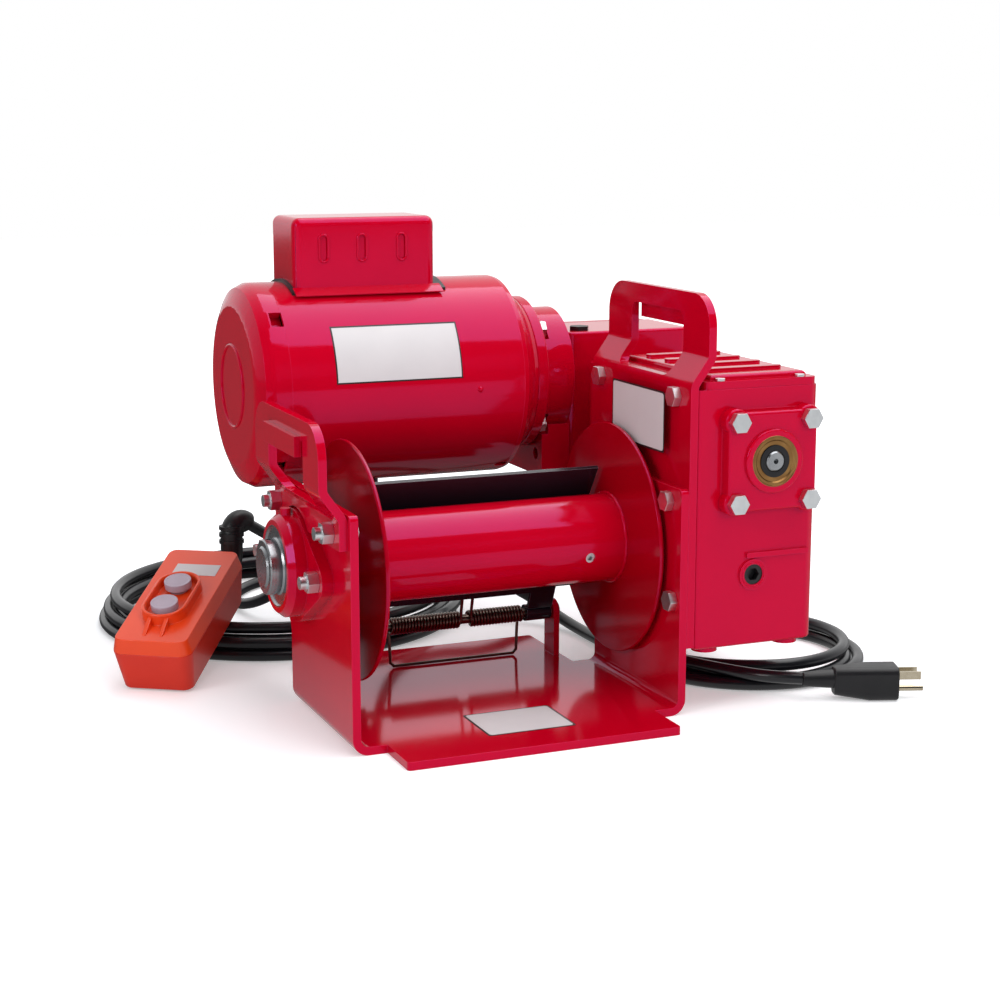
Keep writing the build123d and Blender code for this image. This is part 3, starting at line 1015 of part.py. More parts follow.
with BuildPart() as motor_shaft:
    shaft_end = GEAR_RIGHT - BOX_WALL + SMALL_BEARING_WIDTH - 1
    round_x((REAR_SEAT[0] - 2, shaft_end), *MOTOR_AXIS, MOTOR_SHAFT_RADIUS)
    worm_span = (WORM_X - WORM_ONE_LENGTH / 2, WORM_X + WORM_ONE_LENGTH / 2)
    turned_x(rack_rings(*worm_span, WORM_ONE_RADIUS, WORM_ONE_PITCH, 3.4), *MOTOR_AXIS)
save(motor_shaft, "motor_shaft")

with BuildPart() as cooling_fan:
    round_x((SHELL_LEFT + 6, SHELL_LEFT + 24), *MOTOR_AXIS, FAN_HUB_RADIUS)
    round_x((SHELL_LEFT + 20, SHELL_LEFT + 23), *MOTOR_AXIS, FAN_RADIUS)
    with Locations(Plane((SHELL_LEFT + 14, *MOTOR_AXIS), x_dir=(0, 1, 0), z_dir=(1, 0, 0))):
        with PolarLocations((FAN_HUB_RADIUS + FAN_RADIUS) / 2, 8):
            Box(FAN_RADIUS - FAN_HUB_RADIUS + 2, 2.5, FAN_DEPTH)
    round_x((SHELL_LEFT + 5, SHELL_LEFT + 25), *MOTOR_AXIS, MOTOR_SHAFT_RADIUS, Mode.SUBTRACT)
save(cooling_fan, "cooling_fan")

with BuildPart() as motor_bearings:
    for span in (REAR_SEAT, FRONT_SEAT):
        round_x(span, *MOTOR_AXIS, MOTOR_BEARING_RADIUS)
        round_x(span, *MOTOR_AXIS, MOTOR_SHAFT_RADIUS + RUN, Mode.SUBTRACT)
save(motor_bearings, "motor_bearings")

with BuildPart() as motor_bolts:
    for bolt_y, bolt_z in ADAPTER_BOLT_SPOTS:
        face = Plane((ADAPTER_FACE, bolt_y, bolt_z), x_dir=(0, 1, 0), z_dir=(1, 0, 0))
        hex_bolt(face, ADAPTER_FACE - ADAPTER_BOLT_END, flats=12.7, head=5)
save(motor_bolts, "motor_bolts")

# Capacitor cover, its pad and the capacitor under it
CAP_DEPTH = (MOTOR_Y - CAP_HALF_DEPTH, MOTOR_Y + CAP_HALF_DEPTH)
CAP_FOOT = MOTOR_Z + SHELL_RADIUS - 22.5
PAD_SPAN = (CAP_LEFT - 3, CAP_RIGHT + 7)
with BuildPart() as capacitor_cover:
    block((CAP_LEFT, CAP_RIGHT), CAP_DEPTH, (CAP_FOOT, CAP_TOP))
    fillet(capacitor_cover.edges().filter_by(Axis.Z), 7)
    fillet(capacitor_cover.faces().sort_by(Axis.Z)[-1].edges(), 6.5)
    block((CAP_LEFT + CAP_SKIN, CAP_RIGHT - CAP_SKIN), (CAP_DEPTH[0] + CAP_SKIN, CAP_DEPTH[1] - CAP_SKIN),
          (CAP_FOOT - 1, CAP_TOP - CAP_ROOF), Mode.SUBTRACT)
    round_x((CAP_LEFT - 1, CAP_RIGHT + 1), *MOTOR_AXIS, SHELL_RADIUS + PAD_THICK, Mode.SUBTRACT)
    for dimple in (CAP_LEFT + 24.5, CAP_LEFT + 56.5, CAP_LEFT + 90):
        with BuildSketch(facing_front(dimple, CAP_DEPTH[0], CAP_TOP - 24)):
            SlotOverall(22, 8, rotation=90)
        extrude(amount=-1, mode=Mode.SUBTRACT)
save(capacitor_cover, "capacitor_cover")

with BuildPart() as capacitor_pad:
    round_x(PAD_SPAN, *MOTOR_AXIS, SHELL_RADIUS + PAD_THICK)
    round_x(PAD_SPAN, *MOTOR_AXIS, SHELL_RADIUS, Mode.SUBTRACT)
    block(PAD_SPAN, (CAP_DEPTH[0] - 4, CAP_DEPTH[1] + 4), (MOTOR_Z, CAP_TOP), Mode.INTERSECT)
save(capacitor_pad, "capacitor_pad")

with BuildPart() as motor_capacitor:
    can_z = MOTOR_Z + SHELL_RADIUS + PAD_THICK + CAPACITOR_RADIUS + SEAT_GAP
    round_x((CAP_LEFT + 14, CAP_RIGHT - 20), MOTOR_Y, can_z, CAPACITOR_RADIUS)
    chamfer(motor_capacitor.edges().filter_by(GeomType.CIRCLE), 1.5)
    for pin_y in (-7, 7):
        round_x((CAP_RIGHT - 20, CAP_RIGHT - 12), MOTOR_Y + pin_y, can_z, 2)
save(motor_capacitor, "motor_capacitor")

# Terminal box on the motor's far side, with one gland for each cord
TERMINAL_FRONT = MOTOR_Y + SHELL_RADIUS - 12
with BuildPart() as terminal_box:
    block((TERMINAL_LEFT, TERMINAL_RIGHT), (TERMINAL_FRONT, TERMINAL_REAR), (TERMINAL_LOW, TERMINAL_HIGH))
    fillet(terminal_box.edges().filter_by(Axis.Y), 6)
    fillet(terminal_box.faces().sort_by(Axis.Y)[-1].edges(), 4)
    round_x((TERMINAL_LEFT - 1, TERMINAL_RIGHT + 1), *MOTOR_AXIS, SHELL_RADIUS, Mode.SUBTRACT)
    block((TERMINAL_LEFT + TERMINAL_SKIN, TERMINAL_RIGHT - TERMINAL_SKIN),
          (MOTOR_Y + SHELL_RADIUS + TERMINAL_SKIN, TERMINAL_REAR - TERMINAL_SKIN),
          (TERMINAL_LOW + TERMINAL_SKIN, TERMINAL_HIGH - TERMINAL_SKIN), Mode.SUBTRACT)
save(terminal_box, "terminal_box")

with BuildPart() as cord_glands:
    for gland_x in (CONTROL_GLAND_X, POWER_GLAND_X):
        under_box = Plane((gland_x, GLAND_Y, TERMINAL_LOW), x_dir=(1, 0, 0), z_dir=(0, 0, -1))
        hex_prism(under_box, GLAND_NUT_FLATS, GLAND_NUT)
        round_z(gland_x, GLAND_Y, (TERMINAL_LOW - GLAND_LENGTH, TERMINAL_LOW - GLAND_NUT), GLAND_RADIUS)
save(cord_glands, "cord_glands")

# Rope pressure plate: it leans on the rope from behind and swings on a rod with two springs
with BuildPart() as pressure_plate:
    with BuildSketch(Plane.YZ.offset(PRESS_LEFT)) as press_outline:
        with BuildLine():
            corners = [(place_y, DRUM_Z + above) for place_y, above in PRESS_POINTS]
            FilletPolyline(*corners, (PIVOT_Y - 5.5, PIVOT_Z + 4), radius=PRESS_BEND)
        trace(line_width=PRESS_SKIN)
    extrude(amount=PRESS_RIGHT - PRESS_LEFT)
    around_rod = (PIVOT_Y - 12, PIVOT_Y + 12)
    behind_drum = (PIVOT_Y - 40, PIVOT_Y + 12)
    block((PRESS_LEFT - 1, PRESS_RIGHT + 1), around_rod, (PIVOT_Z - 12, PIVOT_Z + 5), Mode.SUBTRACT)
    spring_room = (LEFT_SPRING[0] - 14, RIGHT_SPRING[1] + RIGHT_SPRING_ROOM)
    block(spring_room, behind_drum, (PIVOT_Z - 12, PIVOT_Z + 20), Mode.SUBTRACT)
    for clear_x in ((PRESS_LEFT - 1, KNUCKLE_SPOTS[0]), (EAR_SPOTS[1] - EAR_GAP, PRESS_RIGHT + 1)):
        block(clear_x, behind_drum, (PIVOT_Z - 12, PIVOT_Z + 24), Mode.SUBTRACT)
    for knuckle_x in KNUCKLE_SPOTS:
        round_x((knuckle_x, knuckle_x + KNUCKLE_LENGTH), PIVOT_Y, PIVOT_Z, KNUCKLE_RADIUS)
    round_x((PRESS_LEFT, PRESS_RIGHT), PIVOT_Y, PIVOT_Z, PIVOT_RADIUS + RUN, Mode.SUBTRACT)
save(pressure_plate, "pressure_plate")

with BuildPart() as pivot_rod:
    round_x((EAR_SPOTS[0] - 3, EAR_SPOTS[1] + EAR_THICK + 3), PIVOT_Y, PIVOT_Z, PIVOT_RADIUS)
    chamfer(pivot_rod.edges().filter_by(GeomType.CIRCLE), 0.8)
    for clip_x in (EAR_SPOTS[0] - 2, EAR_SPOTS[1] + EAR_THICK):
        round_x((clip_x, clip_x + 1.8), PIVOT_Y, PIVOT_Z, 7)
save(pivot_rod, "pivot_rod")

# Torsion springs: two coils on the rod, joined by one wire that rests on the base
BAIL_Z = PLATE + SPRING_WIRE + SEAT_GAP
with BuildPart() as torsion_springs:
    for span in (LEFT_SPRING, RIGHT_SPRING):
        round_x(span, PIVOT_Y, PIVOT_Z, SPRING_RADIUS)
        round_x((span[0] - 1, span[1] + 1), PIVOT_Y, PIVOT_Z, PIVOT_RADIUS + SEAT_GAP, Mode.SUBTRACT)
    leg_y = PIVOT_Y + SPRING_RADIUS - 1.5 * SPRING_WIRE
    for leg_x in (LEFT_SPRING[0] + 2 * SPRING_WIRE, RIGHT_SPRING[1] - 2 * SPRING_WIRE):
        round_z(leg_x, leg_y, (BAIL_Z, PIVOT_Z - 2), SPRING_WIRE - 0.1)
    round_x((LEFT_SPRING[0], RIGHT_SPRING[1]), leg_y, BAIL_Z, SPRING_WIRE)
save(torsion_springs, "torsion_springs")

# Pendant: its own plane runs along the case, from the near end to the cord end
turn = math.radians(PENDANT_TURN)
tilt = math.radians(PENDANT_TILT)
ALONG = (math.cos(tilt) * math.sin(turn), math.cos(tilt) * math.cos(turn), math.sin(tilt))
RISE = (-math.sin(tilt) * math.sin(turn), -math.sin(tilt) * math.cos(turn), math.cos(tilt))
PENDANT = Plane(PENDANT_CORNER, x_dir=ALONG, z_dir=RISE)
PENDANT_MID = (BUTTON_PLACES[0] + BUTTON_PLACES[1]) / 2
COLLAR_TOP = PENDANT_HEIGHT + COLLAR_HEIGHT
COLLAR_LENGTH = BUTTON_PLACES[1] - BUTTON_PLACES[0] + COLLAR_WIDTH

with BuildPart() as pendant_shell:
    with BuildSketch(PENDANT):
        with Locations((PENDANT_LENGTH / 2, 0)):
            RectangleRounded(PENDANT_LENGTH - 8, PENDANT_WIDTH - 8, 8)
    with BuildSketch(PENDANT.offset(PENDANT_SPLIT)):
        with Locations((PENDANT_LENGTH / 2, 0)):
            RectangleRounded(PENDANT_LENGTH, PENDANT_WIDTH, 10)
    loft()
    with BuildSketch(PENDANT.offset(PENDANT_WALL)):
        with Locations((PENDANT_LENGTH / 2, 0)):
            RectangleRounded(PENDANT_LENGTH - 16, PENDANT_WIDTH - 16, 6)
    extrude(amount=PENDANT_SPLIT, mode=Mode.SUBTRACT)
save(pendant_shell, "pendant_shell")

with BuildPart() as pendant_cover:
    with BuildSketch(PENDANT.offset(PENDANT_SPLIT)):
        with Locations((PENDANT_LENGTH / 2, 0)):
            RectangleRounded(PENDANT_LENGTH, PENDANT_WIDTH, 10)
    extrude(amount=PENDANT_HEIGHT - PENDANT_SPLIT, taper=14)
    with BuildSketch(PENDANT.offset(PENDANT_HEIGHT - 1)):
        with Locations((PENDANT_MID, 0)):
            SlotOverall(COLLAR_LENGTH, COLLAR_WIDTH)
    extrude(amount=COLLAR_HEIGHT + 1, taper=4)
    with BuildSketch(PENDANT.offset(COLLAR_TOP)):
        with Locations((PENDANT_MID, 0)):
            SlotOverall(COLLAR_LENGTH - 7, COLLAR_WIDTH - 7)
    extrude(amount=-COLLAR_HEIGHT + 2, mode=Mode.SUBTRACT)
    with BuildSketch(PENDANT.offset(PENDANT_SPLIT)):
        with Locations((PENDANT_LENGTH / 2, 0)):
            RectangleRounded(PENDANT_LENGTH - 14, PENDANT_WIDTH - 14, 6)
    extrude(amount=PENDANT_HEIGHT - PENDANT_SPLIT - PENDANT_WALL, mode=Mode.SUBTRACT)
    with BuildSketch(PENDANT.offset(COLLAR_TOP)):
        with Locations(*[(place, 0) for place in BUTTON_PLACES]):
            Circle(BUTTON_STEM + BUTTON_PLAY)
    extrude(amount=-COLLAR_TOP, mode=Mode.SUBTRACT)
save(pendant_cover, "pendant_cover")

# Push buttons: a round cap over a stem that goes through the cover
BUTTON_FLOOR = PENDANT_HEIGHT + 2
BUTTON_LIFT = 3.2
BLOCK_TOP = PENDANT_HEIGHT - PENDANT_WALL - 9
for name, place in zip(("lower_button", "raise_button"), BUTTON_PLACES):
    with BuildPart() as button:
        with BuildSketch(PENDANT.offset(BUTTON_FLOOR + BUTTON_LIFT)):
            with Locations((place, 0)):
                Circle(BUTTON_RADIUS)
        extrude(amount=COLLAR_TOP + BUTTON_PROUD - BUTTON_FLOOR - BUTTON_LIFT, taper=3)
        with BuildSketch(PENDANT.offset(BLOCK_TOP + BUTTON_LIFT)):
            with Locations((place, 0)):
                Circle(BUTTON_STEM)
        extrude(amount=BUTTON_FLOOR - BLOCK_TOP)
    save(button, name)

with BuildPart() as contact_block:
    with BuildSketch(PENDANT.offset(PENDANT_WALL)):
        with Locations((PENDANT_MID, 0)):
            Rectangle(74, 34)
    extrude(amount=BLOCK_TOP - PENDANT_WALL)
save(contact_block, "contact_block")

# Boot: a ribbed rubber sleeve that bends up out of the far end of the case and over at its tip
boot_lean = math.radians(BOOT_LEAN)
BOOT_UP = (PENDANT.x_dir * math.cos(boot_lean) + PENDANT.z_dir * math.sin(boot_lean)).normalized()
BOOT_TIP_AXIS = Vector(*BOOT_TIP_WAY).normalized()
BOOT_ROOT = PENDANT.from_local_coords((PENDANT_LENGTH - 6, BOOT_SIDE, BOOT_LOW))
BOOT_KNEE = PENDANT.from_local_coords((PENDANT_LENGTH + BOOT_REACH, BOOT_SIDE, BOOT_LOW))
BOOT_TOP = BOOT_KNEE + BOOT_UP * BOOT_RISE
BOOT_TIP = BOOT_TOP + BOOT_TIP_AXIS * BOOT_TIP_REACH
with BuildPart() as pendant_boot:
    with BuildLine():
        FilletPolyline(BOOT_ROOT, BOOT_KNEE, BOOT_TOP, BOOT_TIP, radius=BOOT_BENDS)
    with BuildSketch(Plane(BOOT_ROOT, z_dir=PENDANT.x_dir)):
        Circle(BOOT_RADIUS)
    sweep()
    for step in (-4.5, 1.5, 7.5):
        with BuildSketch(Plane(BOOT_KNEE + BOOT_UP * (BOOT_RISE / 2 + step), z_dir=BOOT_UP)):
            Circle(BOOT_RADIUS + 1.2)
        extrude(amount=3)
save(pendant_boot, "pendant_boot")


def cord(route, radius=CORD_RADIUS):
    """Sweep a round cord along a route of points, with an arc at each corner."""
    spots = [Vector(*spot) for spot in route]
    radii = []
    for before, corner, after in zip(spots, spots[1:], spots[2:]):
        half_turn = math.radians((corner - before).get_angle(after - corner)) / 2
        run = min((corner - before).length, (after - corner).length)
        radii.append(0.45 * run / math.tan(half_turn))
    with BuildLine() as centre_line:
        FilletPolyline(*spots, radius=radii)
    with BuildSketch(Plane(spots[0], z_dir=spots[1] - spots[0])) as section:
        Circle(radius)
    sweep(section.sketch, path=centre_line.line)


# Pendant's cord: over from the boot and down to its coil, which lies under the pendant
with BuildPart() as control_lead:
    cord((tuple(BOOT_TIP), tuple(BOOT_TIP + BOOT_TIP_AXIS * 32), (-50, 276, 62),
                          (-10, 284, 43), (34, 276, 36), (72, 290, 31),
                          (88, 326, CONTROL_COIL_HEIGHT + 2)))
save(control_lead, "control_lead")

with BuildPart() as control_coil:
    round_z(*CONTROL_COIL_CENTRE, (0, CONTROL_COIL_HEIGHT), CONTROL_COIL_OUTER)
    chamfer(control_coil.edges().filter_by(GeomType.CIRCLE), 2.5)
    round_z(*CONTROL_COIL_CENTRE, (-1, CONTROL_COIL_HEIGHT + 1), CONTROL_COIL_INNER, Mode.SUBTRACT)
save(control_coil, "control_coil")

# Its other end: up from inside the coil to the front gland of the terminal box
GLAND_END = TERMINAL_LOW - GLAND_LENGTH
with BuildPart() as control_tail:
    cord(((CONTROL_GLAND_X, GLAND_Y, GLAND_END), (CONTROL_GLAND_X, GLAND_Y, 135),
                          (-46, 244, 90), (-60, 258, 50), (-82, 284, 22), (-98, 322, 7), (-98, 364, 5.3),
                          (-76, 402, 5.3), (-38, 430, 5.3), (8, 441, 5.3)))
save(control_tail, "control_tail")

# Power cord: from the other gland over the first coil, down to the floor and into its own coil
with BuildPart() as power_lead:
    cord(((POWER_GLAND_X, GLAND_Y, GLAND_END), (POWER_GLAND_X, GLAND_Y, 135), (5, 240, 92),
                        (22, 238, 56), (58, 231, 44), (100, 216, 44), (136, 194, 24), (152, 160, 9),
                        (157, 122, 5.3), (158, 84, 5.3), (161, 52, 5.3), (167, 24, 5.3)))
save(power_lead, "power_lead")

# The power coil runs on in a short straight end that holds the plug
plug_turn = math.radians(PLUG_TURN)
PLUG_WAY = Vector(math.cos(plug_turn), math.sin(plug_turn), 0)
PLUG = Plane(PLUG_START, x_dir=(0, 0, 1), z_dir=PLUG_WAY)
with BuildPart() as power_coil:
    round_z(*POWER_COIL_CENTRE, (0, POWER_COIL_HEIGHT), POWER_COIL_OUTER)
    chamfer(power_coil.edges().filter_by(GeomType.CIRCLE), 2.5)
    round_z(*POWER_COIL_CENTRE, (-1, POWER_COIL_HEIGHT + 1), POWER_COIL_INNER, Mode.SUBTRACT)
    cord(((188, -46, 9), (206, -78, 9), (232, -104, 13), PLUG_START))
save(power_coil, "power_coil")

# Plug: a moulded body that grows towards its face, with two blades above an earth pin
PLUG_MIDDLE = PLUG_FLOOR + PLUG_TALL / 2 - PLUG_START[2]
with BuildPart() as plug_body:
    with BuildSketch(PLUG):
        with Locations((PLUG_MIDDLE + 1, 0)):
            RectangleRounded(PLUG_TAIL, PLUG_TAIL - 6, 6)
    with BuildSketch(PLUG.offset(PLUG_LENGTH * 0.55)):
        with Locations((PLUG_MIDDLE, 0)):
            RectangleRounded(PLUG_TALL, PLUG_DEEP, 6)
    loft()
    with BuildSketch(PLUG.offset(PLUG_LENGTH * 0.55)):
        with Locations((PLUG_MIDDLE, 0)):
            RectangleRounded(PLUG_TALL, PLUG_DEEP, 6)
    extrude(amount=PLUG_LENGTH * 0.45)
save(plug_body, "plug_body")

BLADE_HIGH = PLUG_MIDDLE + EARTH_DROP / 2
with BuildPart() as plug_prongs:
    with BuildSketch(PLUG.offset(PLUG_LENGTH)):
        with Locations((BLADE_HIGH, -BLADE_SPREAD / 2), (BLADE_HIGH, BLADE_SPREAD / 2)):
            Rectangle(BLADE_WIDTH, BLADE_THICK)
    extrude(amount=BLADE_LENGTH)
    with BuildSketch(PLUG.offset(PLUG_LENGTH)):
        with Locations((BLADE_HIGH - EARTH_DROP, 0)):
            Circle(EARTH_RADIUS)
    extrude(amount=EARTH_LENGTH)
save(plug_prongs, "plug_prongs")
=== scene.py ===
"""Looks of the electric winch: paint, metal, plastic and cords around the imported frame.

Sizes are in millimetres in the fields and turned to metres where a mesh is made.
X runs along the drum to the right, Y goes to the back, Z is up from the floor.
"""

import json
import logging
import math
from collections.abc import Callable, Iterable, Iterator
from contextlib import contextmanager
from dataclasses import dataclass, field, replace
from enum import Enum

import bmesh
import bpy
from mathutils import Matrix, Vector


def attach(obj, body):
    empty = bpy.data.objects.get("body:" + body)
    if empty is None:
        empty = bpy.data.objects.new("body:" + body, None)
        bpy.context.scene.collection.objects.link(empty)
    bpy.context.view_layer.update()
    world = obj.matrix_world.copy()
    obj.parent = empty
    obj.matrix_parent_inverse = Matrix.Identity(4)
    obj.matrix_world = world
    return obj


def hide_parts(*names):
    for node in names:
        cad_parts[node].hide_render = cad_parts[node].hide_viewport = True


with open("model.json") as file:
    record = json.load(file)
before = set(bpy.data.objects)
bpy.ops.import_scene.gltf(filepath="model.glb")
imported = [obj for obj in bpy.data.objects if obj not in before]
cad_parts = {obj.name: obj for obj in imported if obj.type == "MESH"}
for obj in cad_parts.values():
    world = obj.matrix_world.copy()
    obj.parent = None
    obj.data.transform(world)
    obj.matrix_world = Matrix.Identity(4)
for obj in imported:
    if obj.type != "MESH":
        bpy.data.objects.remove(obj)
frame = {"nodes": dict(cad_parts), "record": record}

Piece = bpy.types.Object
Tree = bpy.types.NodeTree
Socket = bpy.types.NodeSocket
Pair = tuple[float, float]
Triple = tuple[float, float, float]

MM = 0.001
AXIS_X, AXIS_Y, AXIS_Z = (Vector(way) for way in ((1, 0, 0), (0, 1, 0), (0, 0, 1)))
LOG = logging.getLogger("winch")


class Body(Enum):
    """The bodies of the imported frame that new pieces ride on."""

    BASE = "base"
    DRUM = "drum"
    PRESS = "press"
    RAISE = "raise"
    LOWER = "lower"


def linear(code: str) -> tuple[float, float, float, float]:
    """Turn an sRGB hex colour into linear values.

    Args:
        code: six hex digits.

    Returns:
        Red, green, blue and alpha.
    """
    parts = [int(code[at : at + 2], 16) / 255 for at in (0, 2, 4)]
    red, green, blue = (
        part / 12.92 if part <= 0.04045 else ((part + 0.055) / 1.055) ** 2.4 for part in parts
    )
    return (red, green, blue, 1.0)


def add_node(tree: Tree, kind: str, inputs: dict | None = None, **settings: object) -> bpy.types.Node:
    """Add one node with its settings, values and links.

    Args:
        tree: node tree that gets the node.
        kind: Blender's name of the node type, after ShaderNode.
        inputs: values or sockets by input name or number.
        settings: properties of the node itself.

    Returns:
        The new node.
    """
    made = tree.nodes.new("ShaderNode" + kind)
    for name, value in settings.items():
        setattr(made, name, value)
    for name, value in (inputs or {}).items():
        if isinstance(value, Socket):
            tree.links.new(value, made.inputs[name])
        else:
            made.inputs[name].default_value = value
    return made


def remap(tree: Tree, value: Socket, span: Pair, result: Pair) -> Socket:
    """Map a value from one span to another, clamped at both ends."""
    return add_node(
        tree,
        "MapRange",
        {"Value": value, "From Min": span[0], "From Max": span[1], "To Min": result[0], "To Max": result[1]},
    ).outputs["Result"]


def noise(tree: Tree, place: Socket, size_mm: float, detail: float) -> Socket:
    """Noise whose patches are about size_mm across."""
    inputs = {"Vector": place, "Scale": 1 / (size_mm * MM), "Detail": detail}
    return add_node(tree, "TexNoise", inputs).outputs["Fac"]


def blend(tree: Tree, share: Socket, first: object, second: object) -> Socket:
    """Blend two colours by a share from 0 to 1."""
    return add_node(tree, "Mix", {0: share, 6: first, 7: second}, data_type="RGBA").outputs[2]


def choose(tree: Tree, share: Socket, first: Socket, second: Socket) -> Socket:
    """Show the first shader where the share is 0 and the second where it is 1."""
    return add_node(tree, "MixShader", {0: share, 1: first, 2: second}).outputs[0]


def glow(tree: Tree, kind: str, strength: object, code: str = "FFFFFF") -> Socket:
    """Add an emission or background shader of one colour."""
    return add_node(tree, kind, {"Color": linear(code), "Strength": strength}).outputs[0]


@dataclass(frozen=True)
class Finish:
    """What every finish shares: two close colours, a spread of gloss and a fine relief."""

    name: str
    colour: str
    second: str
    metallic: float = 0.0
    gloss: Pair = (0.3, 0.4)
    cloud_mm: float = 60.0
    grain_mm: float = 1.5
    relief_mm: float = 0.01
    coat: float = 0.0
    coat_roughness: float = 0.06
    sheen: str = "FFFFFF"
    stretch: Triple = (1.0, 1.0, 1.0)

    def build(self) -> bpy.types.Material:
        """Make the material once and give it back after that."""
        if self.name in bpy.data.materials:
            return bpy.data.materials[self.name]
        material = bpy.data.materials.new(self.name)
        material.use_nodes = True
        tree = material.node_tree
        tree.nodes.clear()
        place = add_node(tree, "TexCoord").outputs["Object"]
        turned = add_node(tree, "Mapping", {"Vector": place, "Scale": self.stretch}).outputs["Vector"]
        clouds = noise(tree, place, self.cloud_mm, 3.0)
        grain = noise(tree, turned, self.grain_mm, 2.0)
        colour = blend(tree, clouds, linear(self.colour), linear(self.second))
        colour, relief = self.pattern(tree, place, colour, grain)
        bump = add_node(
            tree, "Bump", {"Height": relief, "Strength": 1.0, "Distance": self.relief_mm * MM}
        ).outputs["Normal"]
        shader = add_node(
            tree,
            "BsdfPrincipled",
            {
                "Base Color": colour,
                "Metallic": self.metallic,
                "Roughness": remap(tree, clouds, (0.0, 1.0), self.gloss),
                "Normal": bump,
                "Coat Weight": self.coat,
                "Coat Roughness": self.coat_roughness,
                "Specular Tint": linear(self.sheen),
            },
        )
        add_node(tree, "OutputMaterial", {"Surface": shader.outputs["BSDF"]})
        return material

    def pattern(self, tree: Tree, place: Socket, colour: Socket, grain: Socket) -> tuple[Socket, Socket]:
        """Give colour and relief; a finish with more to show overrides this.

        Args:
            tree: node tree of the material.
            place: coordinates in the piece.
            colour: colour so far.
            grain: fine noise.

        Returns:
            Colour and relief.
        """
        return colour, grain


@dataclass(frozen=True)
class Enamel(Finish):
    """Baked gloss enamel on steel, with a painted highlight: a lighter colour along its rounded edges."""

    # Colour, width and facing span of the painted highlight on rounded edges
    edge: str = "E0405F"
    edge_mm: float = 0.9
    highlight_facing: Pair = (0.995, 0.8)
    highlight_share: float = 0.45

    def pattern(self, tree: Tree, place: Socket, colour: Socket, grain: Socket) -> tuple[Socket, Socket]:
        """Paint a highlight: lighten the colour where the surface turns a corner."""
        soft = add_node(tree, "Bevel", {"Radius": self.edge_mm * MM}, samples=4).outputs["Normal"]
        flat = add_node(tree, "NewGeometry").outputs["Normal"]
        facing = add_node(tree, "VectorMath", {0: soft, 1: flat}, operation="DOT_PRODUCT")
        # Share of the painted highlight, highest where the surface turns a corner
        corner = remap(tree, facing.outputs["Value"], self.highlight_facing, (0.0, self.highlight_share))
        return blend(tree, corner, colour, linear(self.edge)), grain


@dataclass(frozen=True)
class TurnedMetal(Finish):
    """Metal turned on a lathe: fine rings round the axis that it was turned on."""

    axis: str = "X"
    ring_mm: float = 0.8

    def pattern(self, tree: Tree, place: Socket, colour: Socket, grain: Socket) -> tuple[Socket, Socket]:
        """Add tool rings to the grain; real ones are finer than the render can show."""
        inputs = {"Vector": place, "Scale": 0.1 / (self.ring_mm * MM), "Distortion": 0.4}
        rings = add_node(tree, "TexWave", inputs, bands_direction=self.axis).outputs["Fac"]
        both = add_node(tree, "Math", {0: rings, 1: grain}, operation="ADD").outputs["Value"]
        return colour, both


# Baked gloss enamel over steel plate: deep red that turns pink where light grazes it; its pink edge colour is a
# painted highlight
RED_ENAMEL = Enamel(
    "baked_red_enamel", "C4001F", "B8001B", gloss=(0.07, 0.13), grain_mm=3.0, relief_mm=0.01,
    sheen="C78DFF", edge="D8305A",
)
# The same enamel, darker, on the pressed flanges
FLANGE_ENAMEL = replace(
    RED_ENAMEL, name="baked_dark_red_enamel", colour="AE0016", second="A00013", gloss=(0.1, 0.18),
    relief_mm=0.012,
)
# Black enamel on thin sheet: a smooth face with a painted highlight along its edges
BLACK_ENAMEL = Enamel("black_enamel", "15131A", "1F1B24", gloss=(0.1, 0.2), edge="B9A9B2", edge_mm=0.7)
# Bright zinc plate on rolled fasteners: pale, slightly mottled
ZINC = Finish(
    "bright_zinc_plate", "F2F4F6", "DDE1E5", metallic=1.0, gloss=(0.26, 0.4), cloud_mm=5.0, grain_mm=0.7,
)
# Spring wire drawn and lightly oiled: grey with warm patches
SPRING_WIRE = Finish(
    "oiled_spring_wire", "8C8178", "5E5048", metallic=1.0, gloss=(0.22, 0.4), cloud_mm=9.0, grain_mm=0.5,
    relief_mm=0.008,
)
# Turned carbon steel: fine tool rings
TURNED_STEEL = TurnedMetal(
    "turned_steel", "B7B9BC", "9A9DA2", metallic=1.0, gloss=(0.2, 0.34), cloud_mm=14.0
)
# Turned steel on the worm shafts, whose axis lies front to back
TURNED_STEEL_DEEP = replace(TURNED_STEEL, name="turned_steel_cross", second="8F9298", axis="Y")
# Bearing bronze: warm brown metal, duller in patches
BRONZE = TurnedMetal(
    "bearing_bronze", "B9905A", "8A6038", metallic=1.0, gloss=(0.26, 0.42), cloud_mm=10.0, axis="Y"
)
# Stacked electrical sheet: grey iron with fine lines across the stack
IRON_STACK = TurnedMetal(
    "laminated_iron", "6E7074", "54565B", metallic=1.0, gloss=(0.4, 0.55), cloud_mm=20.0, ring_mm=1.3
)
# Drawn aluminium of a capacitor can
ALUMINIUM = Finish(
    "drawn_aluminium", "D6D8DB", "C0C4C9", metallic=1.0, gloss=(0.24, 0.36), cloud_mm=25.0, grain_mm=1.0,
    stretch=(0.1, 1.0, 1.0),
)
# Nickel over brass, as on plug blades: warm and bright
NICKEL_BRASS = Finish(
    "nickel_plated_brass", "DDD3BE", "BFB298", metallic=1.0, gloss=(0.18, 0.3), cloud_mm=6.0, grain_mm=0.6
)
# Moulded rubber: soft sheen and a faint mould grain
RUBBER = Finish(
    "moulded_rubber", "17161A", "0F0F12", gloss=(0.34, 0.5), cloud_mm=18.0, grain_mm=0.9, relief_mm=0.03
)
# Extruded PVC jacket: a cool shine
PVC_JACKET = Finish(
    "pvc_cord_jacket", "15151C", "0D0D12", gloss=(0.26, 0.4), cloud_mm=22.0, grain_mm=1.4, relief_mm=0.03,
    coat=0.25,
)
